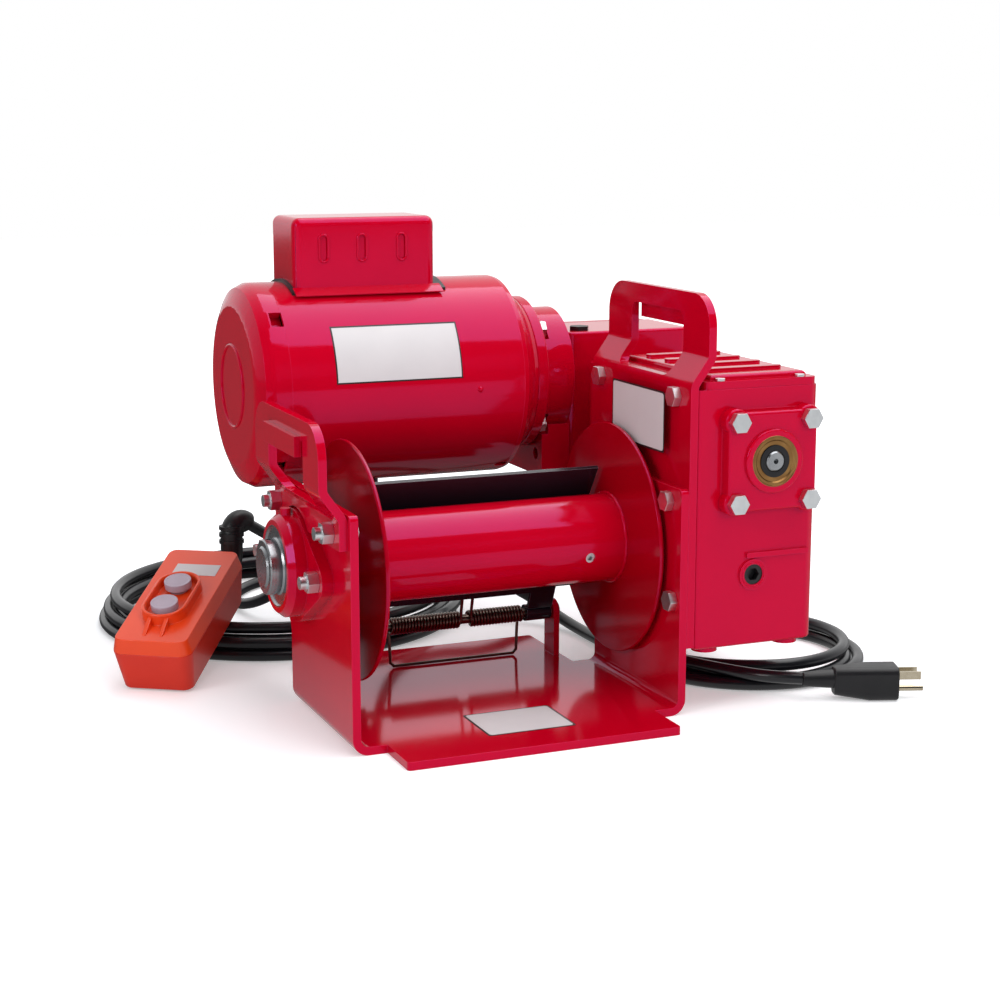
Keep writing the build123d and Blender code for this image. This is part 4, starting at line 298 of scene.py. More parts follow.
# Black phenolic moulding
PHENOLIC = Finish(
    "black_phenolic", "1B1A1D", "131215", gloss=(0.3, 0.42), cloud_mm=24.0, grain_mm=1.2, relief_mm=0.015
)
# Orange ABS shell: shiny moulding with a fine spark texture
ORANGE_ABS = Finish(
    "orange_abs", "EE4A16", "E23E14", gloss=(0.26, 0.36), cloud_mm=40.0, grain_mm=0.8, relief_mm=0.015,
    coat=0.15,
)
# Painted shade: the case below the lid gets a darker, redder copy of the same ABS, for its shaded sides
SHADED_ORANGE_ABS = replace(
    ORANGE_ABS, name="orange_abs_painted_shade", colour="DD2C12", second="CF2610", gloss=(0.28, 0.38)
)
# Grey urea buttons: matt, with a cool tint
GREY_UREA = Finish(
    "grey_urea", "B9ABB8", "A99CAB", gloss=(0.4, 0.52), cloud_mm=9.0, grain_mm=0.6, relief_mm=0.015
)
# Plain vinyl film, left without print
VINYL = Finish(
    "plain_white_vinyl", "D3CFD0", "CAC6C8", gloss=(0.38, 0.48), cloud_mm=30.0, grain_mm=1.6, relief_mm=0.006,
)
# Thin border of the film
VINYL_BORDER = replace(VINYL, name="dark_vinyl_border", colour="2A1A1D", second="22161A")

SLOT_FINISHES = {
    "red_paint": RED_ENAMEL,
    "drum_flange_paint": FLANGE_ENAMEL,
    "black_paint": BLACK_ENAMEL,
    "zinc_steel": ZINC,
    "machined_steel": TURNED_STEEL,
    "bronze": BRONZE,
    "motor_iron": IRON_STACK,
    "aluminium_can": ALUMINIUM,
    "plated_brass": NICKEL_BRASS,
    "black_rubber": RUBBER,
    "cord_jacket": PVC_JACKET,
    "black_plastic": PHENOLIC,
    "orange_plastic": ORANGE_ABS,
    "grey_plastic": GREY_UREA,
}
# Nodes turned about an axis that lies front to back
DEEP_TURNED = ("cross_shaft", "first_wheel", "worm_bearings")


def clear_selection() -> None:
    """Leave edit mode and deselect every object."""
    if bpy.context.object and bpy.context.object.mode != "OBJECT":
        bpy.ops.object.mode_set(mode="OBJECT")
    bpy.ops.object.select_all(action="DESELECT")


def add_object(name: str, data: bpy.types.ID) -> Piece:
    """Add an object with its data to the scene."""
    piece = bpy.data.objects.new(name, data)
    bpy.context.scene.collection.objects.link(piece)
    return piece


def focus(piece: Piece) -> None:
    """Make one object the only selected and active one."""
    clear_selection()
    piece.select_set(True)
    bpy.context.view_layer.objects.active = piece


@contextmanager
def editing(piece: Piece) -> Iterator[None]:
    """Work on one piece in edit mode and leave it after."""
    focus(piece)
    bpy.ops.object.mode_set(mode="EDIT")
    yield
    bpy.ops.object.mode_set(mode="OBJECT")


def pick_faces(piece: Piece, test: Callable[[Vector, Vector], bool]) -> None:
    """Select the faces of the piece in edit mode that pass a test.

    Args:
        piece: object in edit mode.
        test: takes a face's middle and normal.
    """
    bpy.ops.mesh.select_all(action="DESELECT")
    bpy.ops.mesh.select_mode(type="FACE")
    shape = bmesh.from_edit_mesh(piece.data)
    for face in shape.faces:
        face.select_set(test(face.calc_center_median(), face.normal))
    shape.select_flush(True)
    bmesh.update_edit_mesh(piece.data)


def modify(piece: Piece, kind: str, **settings: object) -> None:
    """Add one modifier to a piece and apply it.

    Args:
        piece: mesh object.
        kind: Blender's name of the modifier type.
        settings: properties of the modifier.
    """
    focus(piece)
    modifier = piece.modifiers.new(kind.lower(), kind)
    for name, value in settings.items():
        setattr(modifier, name, value)
    bpy.ops.object.modifier_apply(modifier=modifier.name)


def bevel_edges(piece: Piece, width_mm: float, steps: int = 3, angle: float = 35.0) -> None:
    """Round a piece's sharp edges.

    Args:
        piece: mesh object.
        width_mm: width of the rounding.
        steps: segments of each rounded edge.
        angle: angle in degrees from which an edge counts as sharp.
    """
    modify(
        piece, "BEVEL", width=width_mm * MM, segments=steps, limit_method="ANGLE",
        angle_limit=math.radians(angle), miter_outer="MITER_ARC",
    )


def settle(piece: Piece, place: Matrix | None = None) -> None:
    """Put a piece's place into its mesh, so that its object sits at the origin.

    Args:
        piece: mesh object.
        place: a move to make first.
    """
    focus(piece)
    if place is not None:
        piece.matrix_world = place @ piece.matrix_world
    bpy.ops.object.transform_apply(location=True, rotation=True, scale=True)


def finish_piece(
    piece: Piece, name: str, finish: Finish, replaces: Iterable[str] = (), body: Body = Body.BASE,
    smooth: float = 35.0,
) -> Piece:
    """Name, dress and mount a finished piece.

    Args:
        piece: mesh or curve object.
        name: its name in the table of pieces.
        finish: its material.
        replaces: CAD nodes that it stands for.
        body: the body it rides on.
        smooth: angle in degrees under which faces shade smooth.

    Returns:
        The same object.
    """
    piece.name = name
    piece.data.name = name
    piece.data.materials.clear()
    piece.data.materials.append(finish.build())
    if piece.type == "MESH":
        focus(piece)
        bpy.ops.object.shade_smooth_by_angle(angle=math.radians(smooth))
        modify(piece, "WEIGHTED_NORMAL", keep_sharp=True)
    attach(piece, body.value)
    if replaces:
        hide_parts(*replaces)
    LOG.info("%s rides on %s", name, body.value)
    return piece


def refined(
    node: str, name: str, finish: Finish, round_mm: float = 0.7, steps: int = 2, body: Body = Body.BASE
) -> Piece:
    """Copy a CAD node, merge it, round its sharp edges and let it stand for the node.

    Args:
        node: CAD node.
        name: new piece's name.
        finish: material.
        round_mm: width of the rounded edges.
        steps: segments of each rounded edge.
        body: body that the node is on.

    Returns:
        The new piece.
    """
    piece = add_object(name, frame["nodes"][node].data.copy())
    with editing(piece):
        bpy.ops.mesh.select_all(action="SELECT")
        bpy.ops.mesh.remove_doubles(threshold=0.002 * MM)
        bpy.ops.mesh.customdata_custom_splitnormals_clear()
        bpy.ops.mesh.dissolve_limited(angle_limit=math.radians(0.4))
    bevel_edges(piece, round_mm, steps)
    return finish_piece(piece, name, finish, (node,), body)


def wire(
    name: str, points: Iterable[Vector], radius_mm: float, finish: Finish, closed: bool = False,
    sides: int = 3, body: Body = Body.BASE,
) -> Piece:
    """Make a round wire or bead along points as a mesh.

    Args:
        name: piece name.
        points: places in millimetres.
        radius_mm: radius of the wire.
        finish: material.
        closed: whether the last point joins the first.
        sides: bevel resolution of the curve.
        body: body it rides on.

    Returns:
        The new piece.
    """
    curve = bpy.data.curves.new(name, "CURVE")
    curve.dimensions = "3D"
    curve.bevel_depth = radius_mm * MM
    curve.bevel_resolution = sides
    curve.use_fill_caps = not closed
    spline = curve.splines.new("POLY")
    places = list(points)
    spline.points.add(len(places) - 1)
    for spot, place in zip(spline.points, places):
        spot.co = (*(place * MM), 1.0)
    spline.use_cyclic_u = closed
    focus(add_object(name, curve))
    bpy.ops.object.convert(target="MESH")
    return finish_piece(bpy.context.object, name, finish, body=body, smooth=60.0)


def arc(
    centre: Vector, across: Vector, up: Vector, radius: float, first: float, last: float, steps: int
) -> list[Vector]:
    """Points along an arc, in millimetres.

    Args:
        centre: middle of its circle.
        across: way of 0 degrees.
        up: way of 90 degrees.
        radius: its radius.
        first: first angle in degrees.
        last: last angle in degrees.
        steps: number of steps between the two.

    Returns:
        The points, with both ends.
    """
    angles = (math.radians(first + (last - first) * step / steps) for step in range(steps + 1))
    return [centre + radius * (math.cos(angle) * across + math.sin(angle) * up) for angle in angles]


def ring(name: str, centre: Vector, across: Vector, radius: float, thick: float, finish: Finish) -> None:
    """Lay a round ring on an upright face of the base.

    Args:
        name: piece name.
        centre: middle of the ring.
        across: level way along the face.
        radius: radius of the ring.
        thick: radius of its wire.
        finish: material.
    """
    wire(name, arc(centre, across, AXIS_Z, radius, 0, 360, 64)[:-1], thick, finish, closed=True)


def slot(centre: Vector, across: Vector, up: Vector, radius: float, reach: float, steps: int) -> list[Vector]:
    """Points round a slot, in millimetres.

    Args:
        centre: its middle.
        across: way that its straight sides run.
        up: way across them.
        radius: radius of its round ends.
        reach: how far the ends' middles lie from its own.
        steps: steps of each round end.

    Returns:
        The points.
    """
    return [
        point
        for way, first in ((1, -90), (-1, 90))
        for point in arc(centre + way * reach * across, across, up, radius, first, first + 180, steps)
    ]


def between(start: Vector, end: Vector) -> Matrix:
    """Matrix that takes a piece standing at the origin to the middle of two places in millimetres."""
    turn = AXIS_Z.rotation_difference(end - start).to_matrix().to_4x4()
    return Matrix.Translation((start + end) / 2 * MM) @ turn


def cylinder(radius_mm: float, start: Vector, end: Vector, sides: int = 48, fill: str = "NGON") -> Piece:
    """Add a cylinder between two places.

    Args:
        radius_mm: its radius.
        start: middle of one end, in millimetres.
        end: middle of the other end.
        sides: flat sides round it.
        fill: how its ends are closed.

    Returns:
        The piece, with its place in its mesh.
    """
    clear_selection()
    bpy.ops.mesh.primitive_cylinder_add(
        vertices=sides, radius=radius_mm * MM, depth=(end - start).length * MM, end_fill_type=fill
    )
    piece = bpy.context.object
    settle(piece, between(start, end))
    return piece


def tube(outer_mm: float, inner_mm: float, start: Vector, end: Vector, sides: int = 64) -> Piece:
    """Add a ring or pipe between two places.

    Args:
        outer_mm: outer radius.
        inner_mm: inner radius.
        start: middle of one end, in millimetres.
        end: middle of the other end.
        sides: flat sides round it.

    Returns:
        The piece, with its place in its mesh.
    """
    piece = cylinder(outer_mm, start, end, sides, "NOTHING")
    modify(piece, "SOLIDIFY", thickness=(outer_mm - inner_mm) * MM, offset=-1.0)
    return piece


def sleeve(name: str, radius_mm: float, narrow: Vector, wide: Vector, taper: float, round_mm: float) -> Piece:
    """Add the tapered bend relief round a cord.

    Args:
        name: piece name.
        radius_mm: radius of its wide end.
        narrow: middle of its narrow end, in millimetres.
        wide: middle of its wide end.
        taper: size of the narrow end by the wide one.
        round_mm: width of its rounded edges.

    Returns:
        The sleeve.
    """
    piece = cylinder(radius_mm, narrow, wide, 40)
    way = (wide - narrow).normalized()
    with editing(piece):
        pick_faces(piece, lambda middle, normal: normal.dot(way) < -0.9)
        bpy.ops.transform.resize(value=(taper, taper, taper), center_override=narrow * MM)
    bevel_edges(piece, round_mm, 2)
    return finish_piece(piece, name, RUBBER)


def slab(low: Triple, high: Triple) -> Piece:
    """Add a box between two corners given in millimetres, with its place in its mesh."""
    clear_selection()
    bpy.ops.mesh.primitive_cube_add(size=1.0)
    piece = bpy.context.object
    piece.scale = [(b - a) * MM for a, b in zip(low, high)]
    piece.location = [(a + b) / 2 * MM for a, b in zip(low, high)]
    settle(piece)
    return piece


def flat_film(low: Triple, high: Triple, axis: int, thick: float) -> Piece:
    """Add a thin film with round corners that lies on a plane of the winch.

    Args:
        low: lowest corner in millimetres.
        high: highest corner in millimetres.
        axis: 2 for a film that faces up, 0 for one that faces left.
        thick: thickness in millimetres.

    Returns:
        The film.
    """
    first, last = list(low), list(high)
    if axis == 0:
        first[0] -= thick
    else:
        last[2] += thick
    film = slab(tuple(first), tuple(last))
    with editing(film):
        bpy.ops.mesh.select_all(action="DESELECT")
        bpy.ops.mesh.select_mode(type="EDGE")
        shape = bmesh.from_edit_mesh(film.data)
        for edge in shape.edges:
            way = edge.verts[1].co - edge.verts[0].co
            edge.select_set(abs(way[axis]) > 0.9 * way.length)
        bmesh.update_edit_mesh(film.data)
        bpy.ops.mesh.bevel(offset=2.5 * MM, segments=5)
    return film


@dataclass(frozen=True)
class Softbox:
    """One soft lamp with a flat face."""

    name: str
    place: Triple
    aim: Triple
    size: Pair
    power: float
    mirrored: bool = True

    def hang(self) -> None:
        """Make the lamp and point its face at its aim."""
        data = bpy.data.lights.new(self.name, "AREA")
        data.shape = "RECTANGLE"
        data.size, data.size_y = (side * MM for side in self.size)
        data.energy = self.power
        lamp = add_object(self.name, data)
        lamp.visible_glossy = self.mirrored
        lamp.location = Vector(self.place) * MM
        lamp.rotation_euler = (Vector(self.place) - Vector(self.aim)).to_track_quat("Z", "Y").to_euler()


@dataclass
class Studio:
    """Pale floor, soft lamps and the camera at the photograph's angle."""

    azimuth: float = -22.554
    elevation: float = 11.111
    place: Triple = (-548.98, -1385.16, 449.92)
    focal_px: float = 1955.8
    image_px: float = 1000.0
    floor_size: float = 12.0
    glow_reach: Pair = (0.35, 1.6)
    floor_glow: Pair = (0.3, 1.0)
    mirror_reach: Pair = (-0.3, 0.3)
    floor_mirrored: Pair = (0.8, 0.1)
    room_way: Triple = (0.36, 0.9, 0.25)
    room_reach: Pair = (-0.2, 0.75)
    room_mirrored: Pair = (0.06, 0.95)
    plain_light: float = 0.5
    lamps: tuple[Softbox, ...] = (
        Softbox("softbox_over", (450, 0, 1500), (60, 60, 150), (2000, 1400), 21.0),
        Softbox("softbox_left", (-1700, -700, 900), (0, 0, 150), (700, 1000), 10.0),
        Softbox("softbox_front", (500, -2300, 1100), (50, 0, 150), (1400, 700), 17.0, mirrored=False),
    )

    def build(self) -> None:
        """Make everything around the winch."""
        self.camera()
        self.floor()
        self.world()
        for lamp in self.lamps:
            lamp.hang()

    def camera(self) -> None:
        """Place the camera, with the lens from the focal length in pixels."""
        data = bpy.data.cameras.new("photo_camera")
        data.sensor_width = 36.0
        data.lens = self.focal_px * data.sensor_width / self.image_px
        data.clip_end = 30.0
        camera = add_object("photo_camera", data)
        camera.location = Vector(self.place) * MM
        camera.rotation_euler = (math.radians(90 - self.elevation), 0.0, math.radians(self.azimuth))
        bpy.context.scene.camera = camera
        bpy.context.scene.view_settings.view_transform = "Standard"

    def floor(self) -> None:
        """A white floor that glows a little for the camera and keeps the shadow."""
        clear_selection()
        bpy.ops.mesh.primitive_plane_add(size=self.floor_size)
        ground = bpy.context.object
        ground.name = "studio_floor"
        material = bpy.data.materials.new("white_paper")
        material.use_nodes = True
        tree = material.node_tree
        tree.nodes.clear()
        path = add_node(tree, "LightPath").outputs
        place = add_node(tree, "TexCoord").outputs["Object"]
        far = add_node(tree, "VectorMath", {0: place}, operation="LENGTH").outputs["Value"]
        depth = add_node(tree, "SeparateXYZ", {0: place}).outputs["Y"]
        paper = add_node(tree, "BsdfDiffuse", {"Color": linear("F4F5F7")}).outputs[0]
        bright = glow(tree, "Emission", remap(tree, far, self.glow_reach, self.floor_glow))
        lit = add_node(tree, "AddShader", {0: paper, 1: bright}).outputs[0]
        dim = glow(tree, "Emission", remap(tree, depth, self.mirror_reach, self.floor_mirrored))
        seen = choose(tree, path["Is Camera Ray"], paper, lit)
        both = choose(tree, path["Is Glossy Ray"], seen, dim)
        add_node(tree, "OutputMaterial", {"Surface": both})
        ground.data.materials.append(material)

    def world(self) -> None:
        """Plain light from all round; the camera and reflections see a white room."""
        world = bpy.data.worlds.new("white_room")
        bpy.context.scene.world = world
        world.use_nodes = True
        tree = world.node_tree
        tree.nodes.clear()
        path = add_node(tree, "LightPath").outputs
        rays = {0: path["Is Glossy Ray"], 1: path["Is Transmission Ray"]}
        bounced = add_node(tree, "Math", rays, operation="MAXIMUM").outputs[0]
        way = add_node(tree, "TexCoord").outputs["Generated"]
        behind = add_node(tree, "VectorMath", {0: way, 1: self.room_way}, operation="DOT_PRODUCT")
        room = remap(tree, behind.outputs["Value"], self.room_reach, self.room_mirrored)
        plain = glow(tree, "Background", self.plain_light, "F4F6FA")
        inner = choose(tree, bounced, plain, glow(tree, "Background", room))
        outer = choose(tree, path["Is Camera Ray"], inner, glow(tree, "Background", 1.0))
        add_node(tree, "OutputWorld", {"Surface": outer})


@dataclass
class Cords:
    """Control cord and power cord, each one smooth line from its gland to its far end."""

    diameter: float = 10.0
    control_length: float = 5.56
    power_length: float = 2.21
    turn_points: int = 16
    control_centre: Pair = (-64.0, 303.0)
    control_inner: float = 142.5
    control_pitch: float = 10.4
    power_centre: Pair = (256.0, 10.0)
    power_outer: float = 97.5
    power_pitch: float = 10.6
    lying: float = 5.3
    layer: float = 10.5
    looseness: float = 0.012

    def build(self, plug: "Plug") -> None:
        """Make both cords.

        Args:
            plug: the plug; not used.
        """
        tail = [
            (-42, 239, 182), (-42, 239, 135), (-46, 244, 90), (-60, 258, 50), (-82, 284, 22), (-98, 322, 7),
            (-97, 362, 5.3), (-76, 398, 5.3), (-42, 424, 5.3),
        ]
        coil = self.turns(self.control_centre, 62.4, -1, 5.13, self.control_layers)
        lead = [
            (75, 291, 34), (38, 277, 40), (-10, 284, 43), (-50, 276, 62), (-92.3, 246.6, 87.9),
            (-116, 232.7, 104.4),
        ]
        nodes = ("control_tail", "control_coil", "control_lead")
        self.cord("control_cord", tail + coil + lead, nodes)
        lead = [
            (2, 239, 182), (2, 239, 135), (5, 240, 92), (22, 238, 56), (58, 231, 44), (100, 216, 44),
            (136, 194, 24), (152, 160, 9), (157, 122, 5.3), (158, 84, 5.3), (158, 50, 5.3),
        ]
        coil = self.turns(self.power_centre, 176.0, 1, 3.08, self.power_layers)
        stub = [(208, -80, 15), (232, -104, 16), (260.5, -118, 16)]
        nodes = ("power_lead", "power_coil")
        self.cord("power_cord", lead + coil + stub, nodes)

    def control_layers(self, turn: float) -> Pair:
        """Radius and height of the control coil after a number of turns: out, in and out again."""
        steps = turn if turn < 2 else abs(turn - 4)
        height = self.lying + self.layer * (self.ramp(turn, 1.85) + self.ramp(turn, 3.8))
        return self.control_inner + self.control_pitch * steps, height

    def power_layers(self, turn: float) -> Pair:
        """Radius and height of the power coil: two turns in on the floor, then out on top."""
        height = self.lying + self.layer * self.ramp(turn, 1.8)
        return self.power_outer - self.power_pitch * min(turn, 4 - turn), height

    def ramp(self, turn: float, start: float) -> float:
        """Rise smoothly from 0 to 1 over four tenths of a turn."""
        share = min(max((turn - start) / 0.4, 0.0), 1.0)
        return share * share * (3 - 2 * share)

    def turns(
        self, centre: Pair, start: float, way: int, count: float, layers: Callable[[float], Pair]
    ) -> list[Triple]:
        """Control points of a coil.

        Args:
            centre: middle of the coil.
            start: angle in degrees where it begins.
            way: 1 for left turns seen from above, -1 for right turns.
            count: number of turns.
            layers: gives radius and height after a number of turns.

        Returns:
            Points in millimetres.
        """
        # The smooth line runs inside its points by this share
        inside = (3 + math.cos(2 * math.pi / self.turn_points)) / 4
        points = []
        for step in range(int(count * self.turn_points) + 1):
            turn = step / self.turn_points
            radius, height = layers(turn)
            angle = math.radians(start) + way * 2 * math.pi * turn
            reach = radius / inside * (1 + self.looseness * math.sin(2 * angle + 0.6))
            points.append((centre[0] + reach * math.cos(angle), centre[1] + reach * math.sin(angle), height))
        return points

    def cord(
        self, name: str, points: list[Triple],
        nodes: Iterable[str],
    ) -> None:
        """Args:
            name: piece name.
            points: route in millimetres, from the gland on.
            nodes: CAD nodes that it stands for.
        """
        curve = bpy.data.curves.new(name, "CURVE")
        curve.dimensions = "3D"
        curve.bevel_depth = self.diameter / 2 * MM
        curve.bevel_resolution = 5
        curve.resolution_u = 6
        curve.use_fill_caps = True
        spline = curve.splines.new("NURBS")
        spline.points.add(len(points) - 1)
        for spot, place in zip(spline.points, points):
            spot.co = (*(Vector(place) * MM), 1.0)
        spline.order_u = 3
        spline.use_endpoint_u = True
        piece = add_object(name, curve)
        finish_piece(piece, name, PVC_JACKET, nodes)
        LOG.info("%s is %.3f m long", name, spline.calc_length())


@dataclass
class Plug:
    """Moulded mains plug with a bend relief on its cord."""

    start: Triple = (260.5, -118.0, 16.0)
    turn: float = -20.0
    sleeve_length: float = 24.0
    sleeve_radius: float = 7.6
    pieces: list[Piece] = field(default_factory=list)

    def build(self) -> None:
        """Make the body and the sleeve."""
        way = Vector((math.cos(math.radians(self.turn)), math.sin(math.radians(self.turn)), 0))
        start = Vector(self.start)
        self.pieces.append(refined("plug_body", "plug_moulding", RUBBER, 1.2, 3))
        ends = (start - way * self.sleeve_length, start + way * 3)
        self.pieces.append(sleeve("plug_sleeve", self.sleeve_radius, *ends, 0.74, 0.8))
        self.pieces.append(frame["nodes"]["plug_prongs"])


@dataclass
class PressedFrame:
    """Bent frame and the two carrying handles, with the folds and corners of thick plate."""

    edge_mm: float = 1.0
    film_mm: float = 0.25
    border_mm: float = 0.12
    base_top: float = 6.35
    upright_inner: float = 127.15

    def build(self) -> None:
        """Make the plates and the two blank films on them."""
        for node, name in (
            ("u_frame", "bent_frame"),
            ("left_handle", "left_carry_handle"),
            ("right_handle", "right_carry_handle"),
        ):
            refined(node, name, RED_ENAMEL, self.edge_mm, 3)
        for name in ("handle_bolts", "gearbox_bolts"):
            refined(name, name + "_rolled", ZINC, 0.5)
        self.label("base_film", (-31.0, -120.0, self.base_top), (36.0, -69.0, self.base_top), 2, 1.6)
        self.label("plate_film", (self.upright_inner, -80, 200), (self.upright_inner, 7, 244), 0, 1.5)

    def label(self, name: str, low: Triple, high: Triple, axis: int, margin: float) -> None:
        """Lay a blank film on a plate, over a thin dark film that shows as its border.

        Args:
            name: the film's piece name.
            low: lowest corner.
            high: highest corner.
            axis: 2 for a film that faces up, 0 for one that faces left.
            margin: width of the border.
        """
        finish_piece(flat_film(low, high, axis, self.film_mm), name, VINYL)
        out = Vector([0.0 if way == axis else margin for way in range(3)])
        border = flat_film(tuple(Vector(low) - out), tuple(Vector(high) + out), axis, self.border_mm)
        finish_piece(border, name + "_border", VINYL_BORDER)


@dataclass
class RopeDrum:
    """Barrel and flanges with the weld beads between them."""

    axis_z: float = 118.5
    barrel: float = 35.0
    left: float = -97.0
    right: float = 119.8
    bead: float = 1.6
    bead_steps: int = 144

    def build(self) -> None:
        """Make the barrel, the flanges and a bead at each joint."""
        refined("drum_barrel", "barrel_tube", RED_ENAMEL, 0.4, body=Body.DRUM)
        refined("left_flange", "left_drum_flange", FLANGE_ENAMEL, 0.5, body=Body.DRUM)
        refined("right_flange", "right_drum_flange", FLANGE_ENAMEL, 0.5, body=Body.DRUM)
        self.weld("left_weld", self.left + 0.6)
        self.weld("right_weld", self.right - 0.6)

    def weld(self, name: str, place: float) -> None:
        """Lay a rippled bead round the barrel.

        Args:
            name: piece name.
            place: X of the bead's middle.
        """
        points = []
        for step in range(self.bead_steps):
            angle = 2 * math.pi * step / self.bead_steps
            radius = self.barrel + 0.4 + 0.25 * math.sin(angle * 36)
            across = place + 0.15 * math.sin(angle * 17)
            points.append(Vector((across, radius * math.cos(angle), self.axis_z + radius * math.sin(angle))))
        wire(name, points, self.bead, RED_ENAMEL, closed=True, sides=2, body=Body.DRUM)


@dataclass
class BearingUnit:
    """Cast bearing block on the left upright, with its nuts and its collar."""

    casting_mm: float = 1.2

    def build(self) -> None:
        """Make the casting, its nuts and the collar."""
        refined("bearing_housing", "bearing_casting", RED_ENAMEL, self.casting_mm, 3)
        refined("bearing_bolts", "bearing_nuts", ZINC, 0.5)
        refined("locking_collar", "shaft_collar", TURNED_STEEL, 0.4, body=Body.DRUM)


@dataclass
class GearCase:
    """Both gear housings, their covers and bolts."""

    seal: Triple = (199.0, -125.0, 194.7)
    lip: Pair = (12.4, 8.0)
    lip_depth: Pair = (0.1, 1.6)
    drain: Triple = (189.0, -113.9, 105.7)

    def build(self) -> None:
        """Make the castings, bolts and the shaft seal."""
        for node, name, round_mm, steps in (
            ("gear_housing", "gear_case_casting", 1.4, 3),
            ("gear_top_cover", "gear_case_lid", 0.6, 2),
            ("worm_end_cover", "worm_cover_casting", 0.8, 3),
            ("primary_housing", "first_stage_casting", 1.2, 3),
            ("primary_cover", "first_stage_lid", 1.0, 2),
            ("motor_adapter", "motor_flange_casting", 0.6, 2),
        ):
            refined(node, name, RED_ENAMEL, round_mm, steps)
        refined("gear_cover_bolts", "gear_case_bolts", ZINC, 0.8, 3)
        refined("gearbox_plugs", "oil_plugs", PHENOLIC, 0.4)
        seal = Vector(self.seal)
        lip = tube(*self.lip, *(seal + depth * AXIS_Y for depth in self.lip_depth))
        bevel_edges(lip, 0.3, 2)
        finish_piece(lip, "seal_lip", RUBBER)
        ring("seal_case_ring", seal + 0.3 * AXIS_Y, AXIS_X, 18.9, 0.7, BRONZE)
        ring("drain_rim", Vector(self.drain), AXIS_X, 9.4, 0.8, RED_ENAMEL)


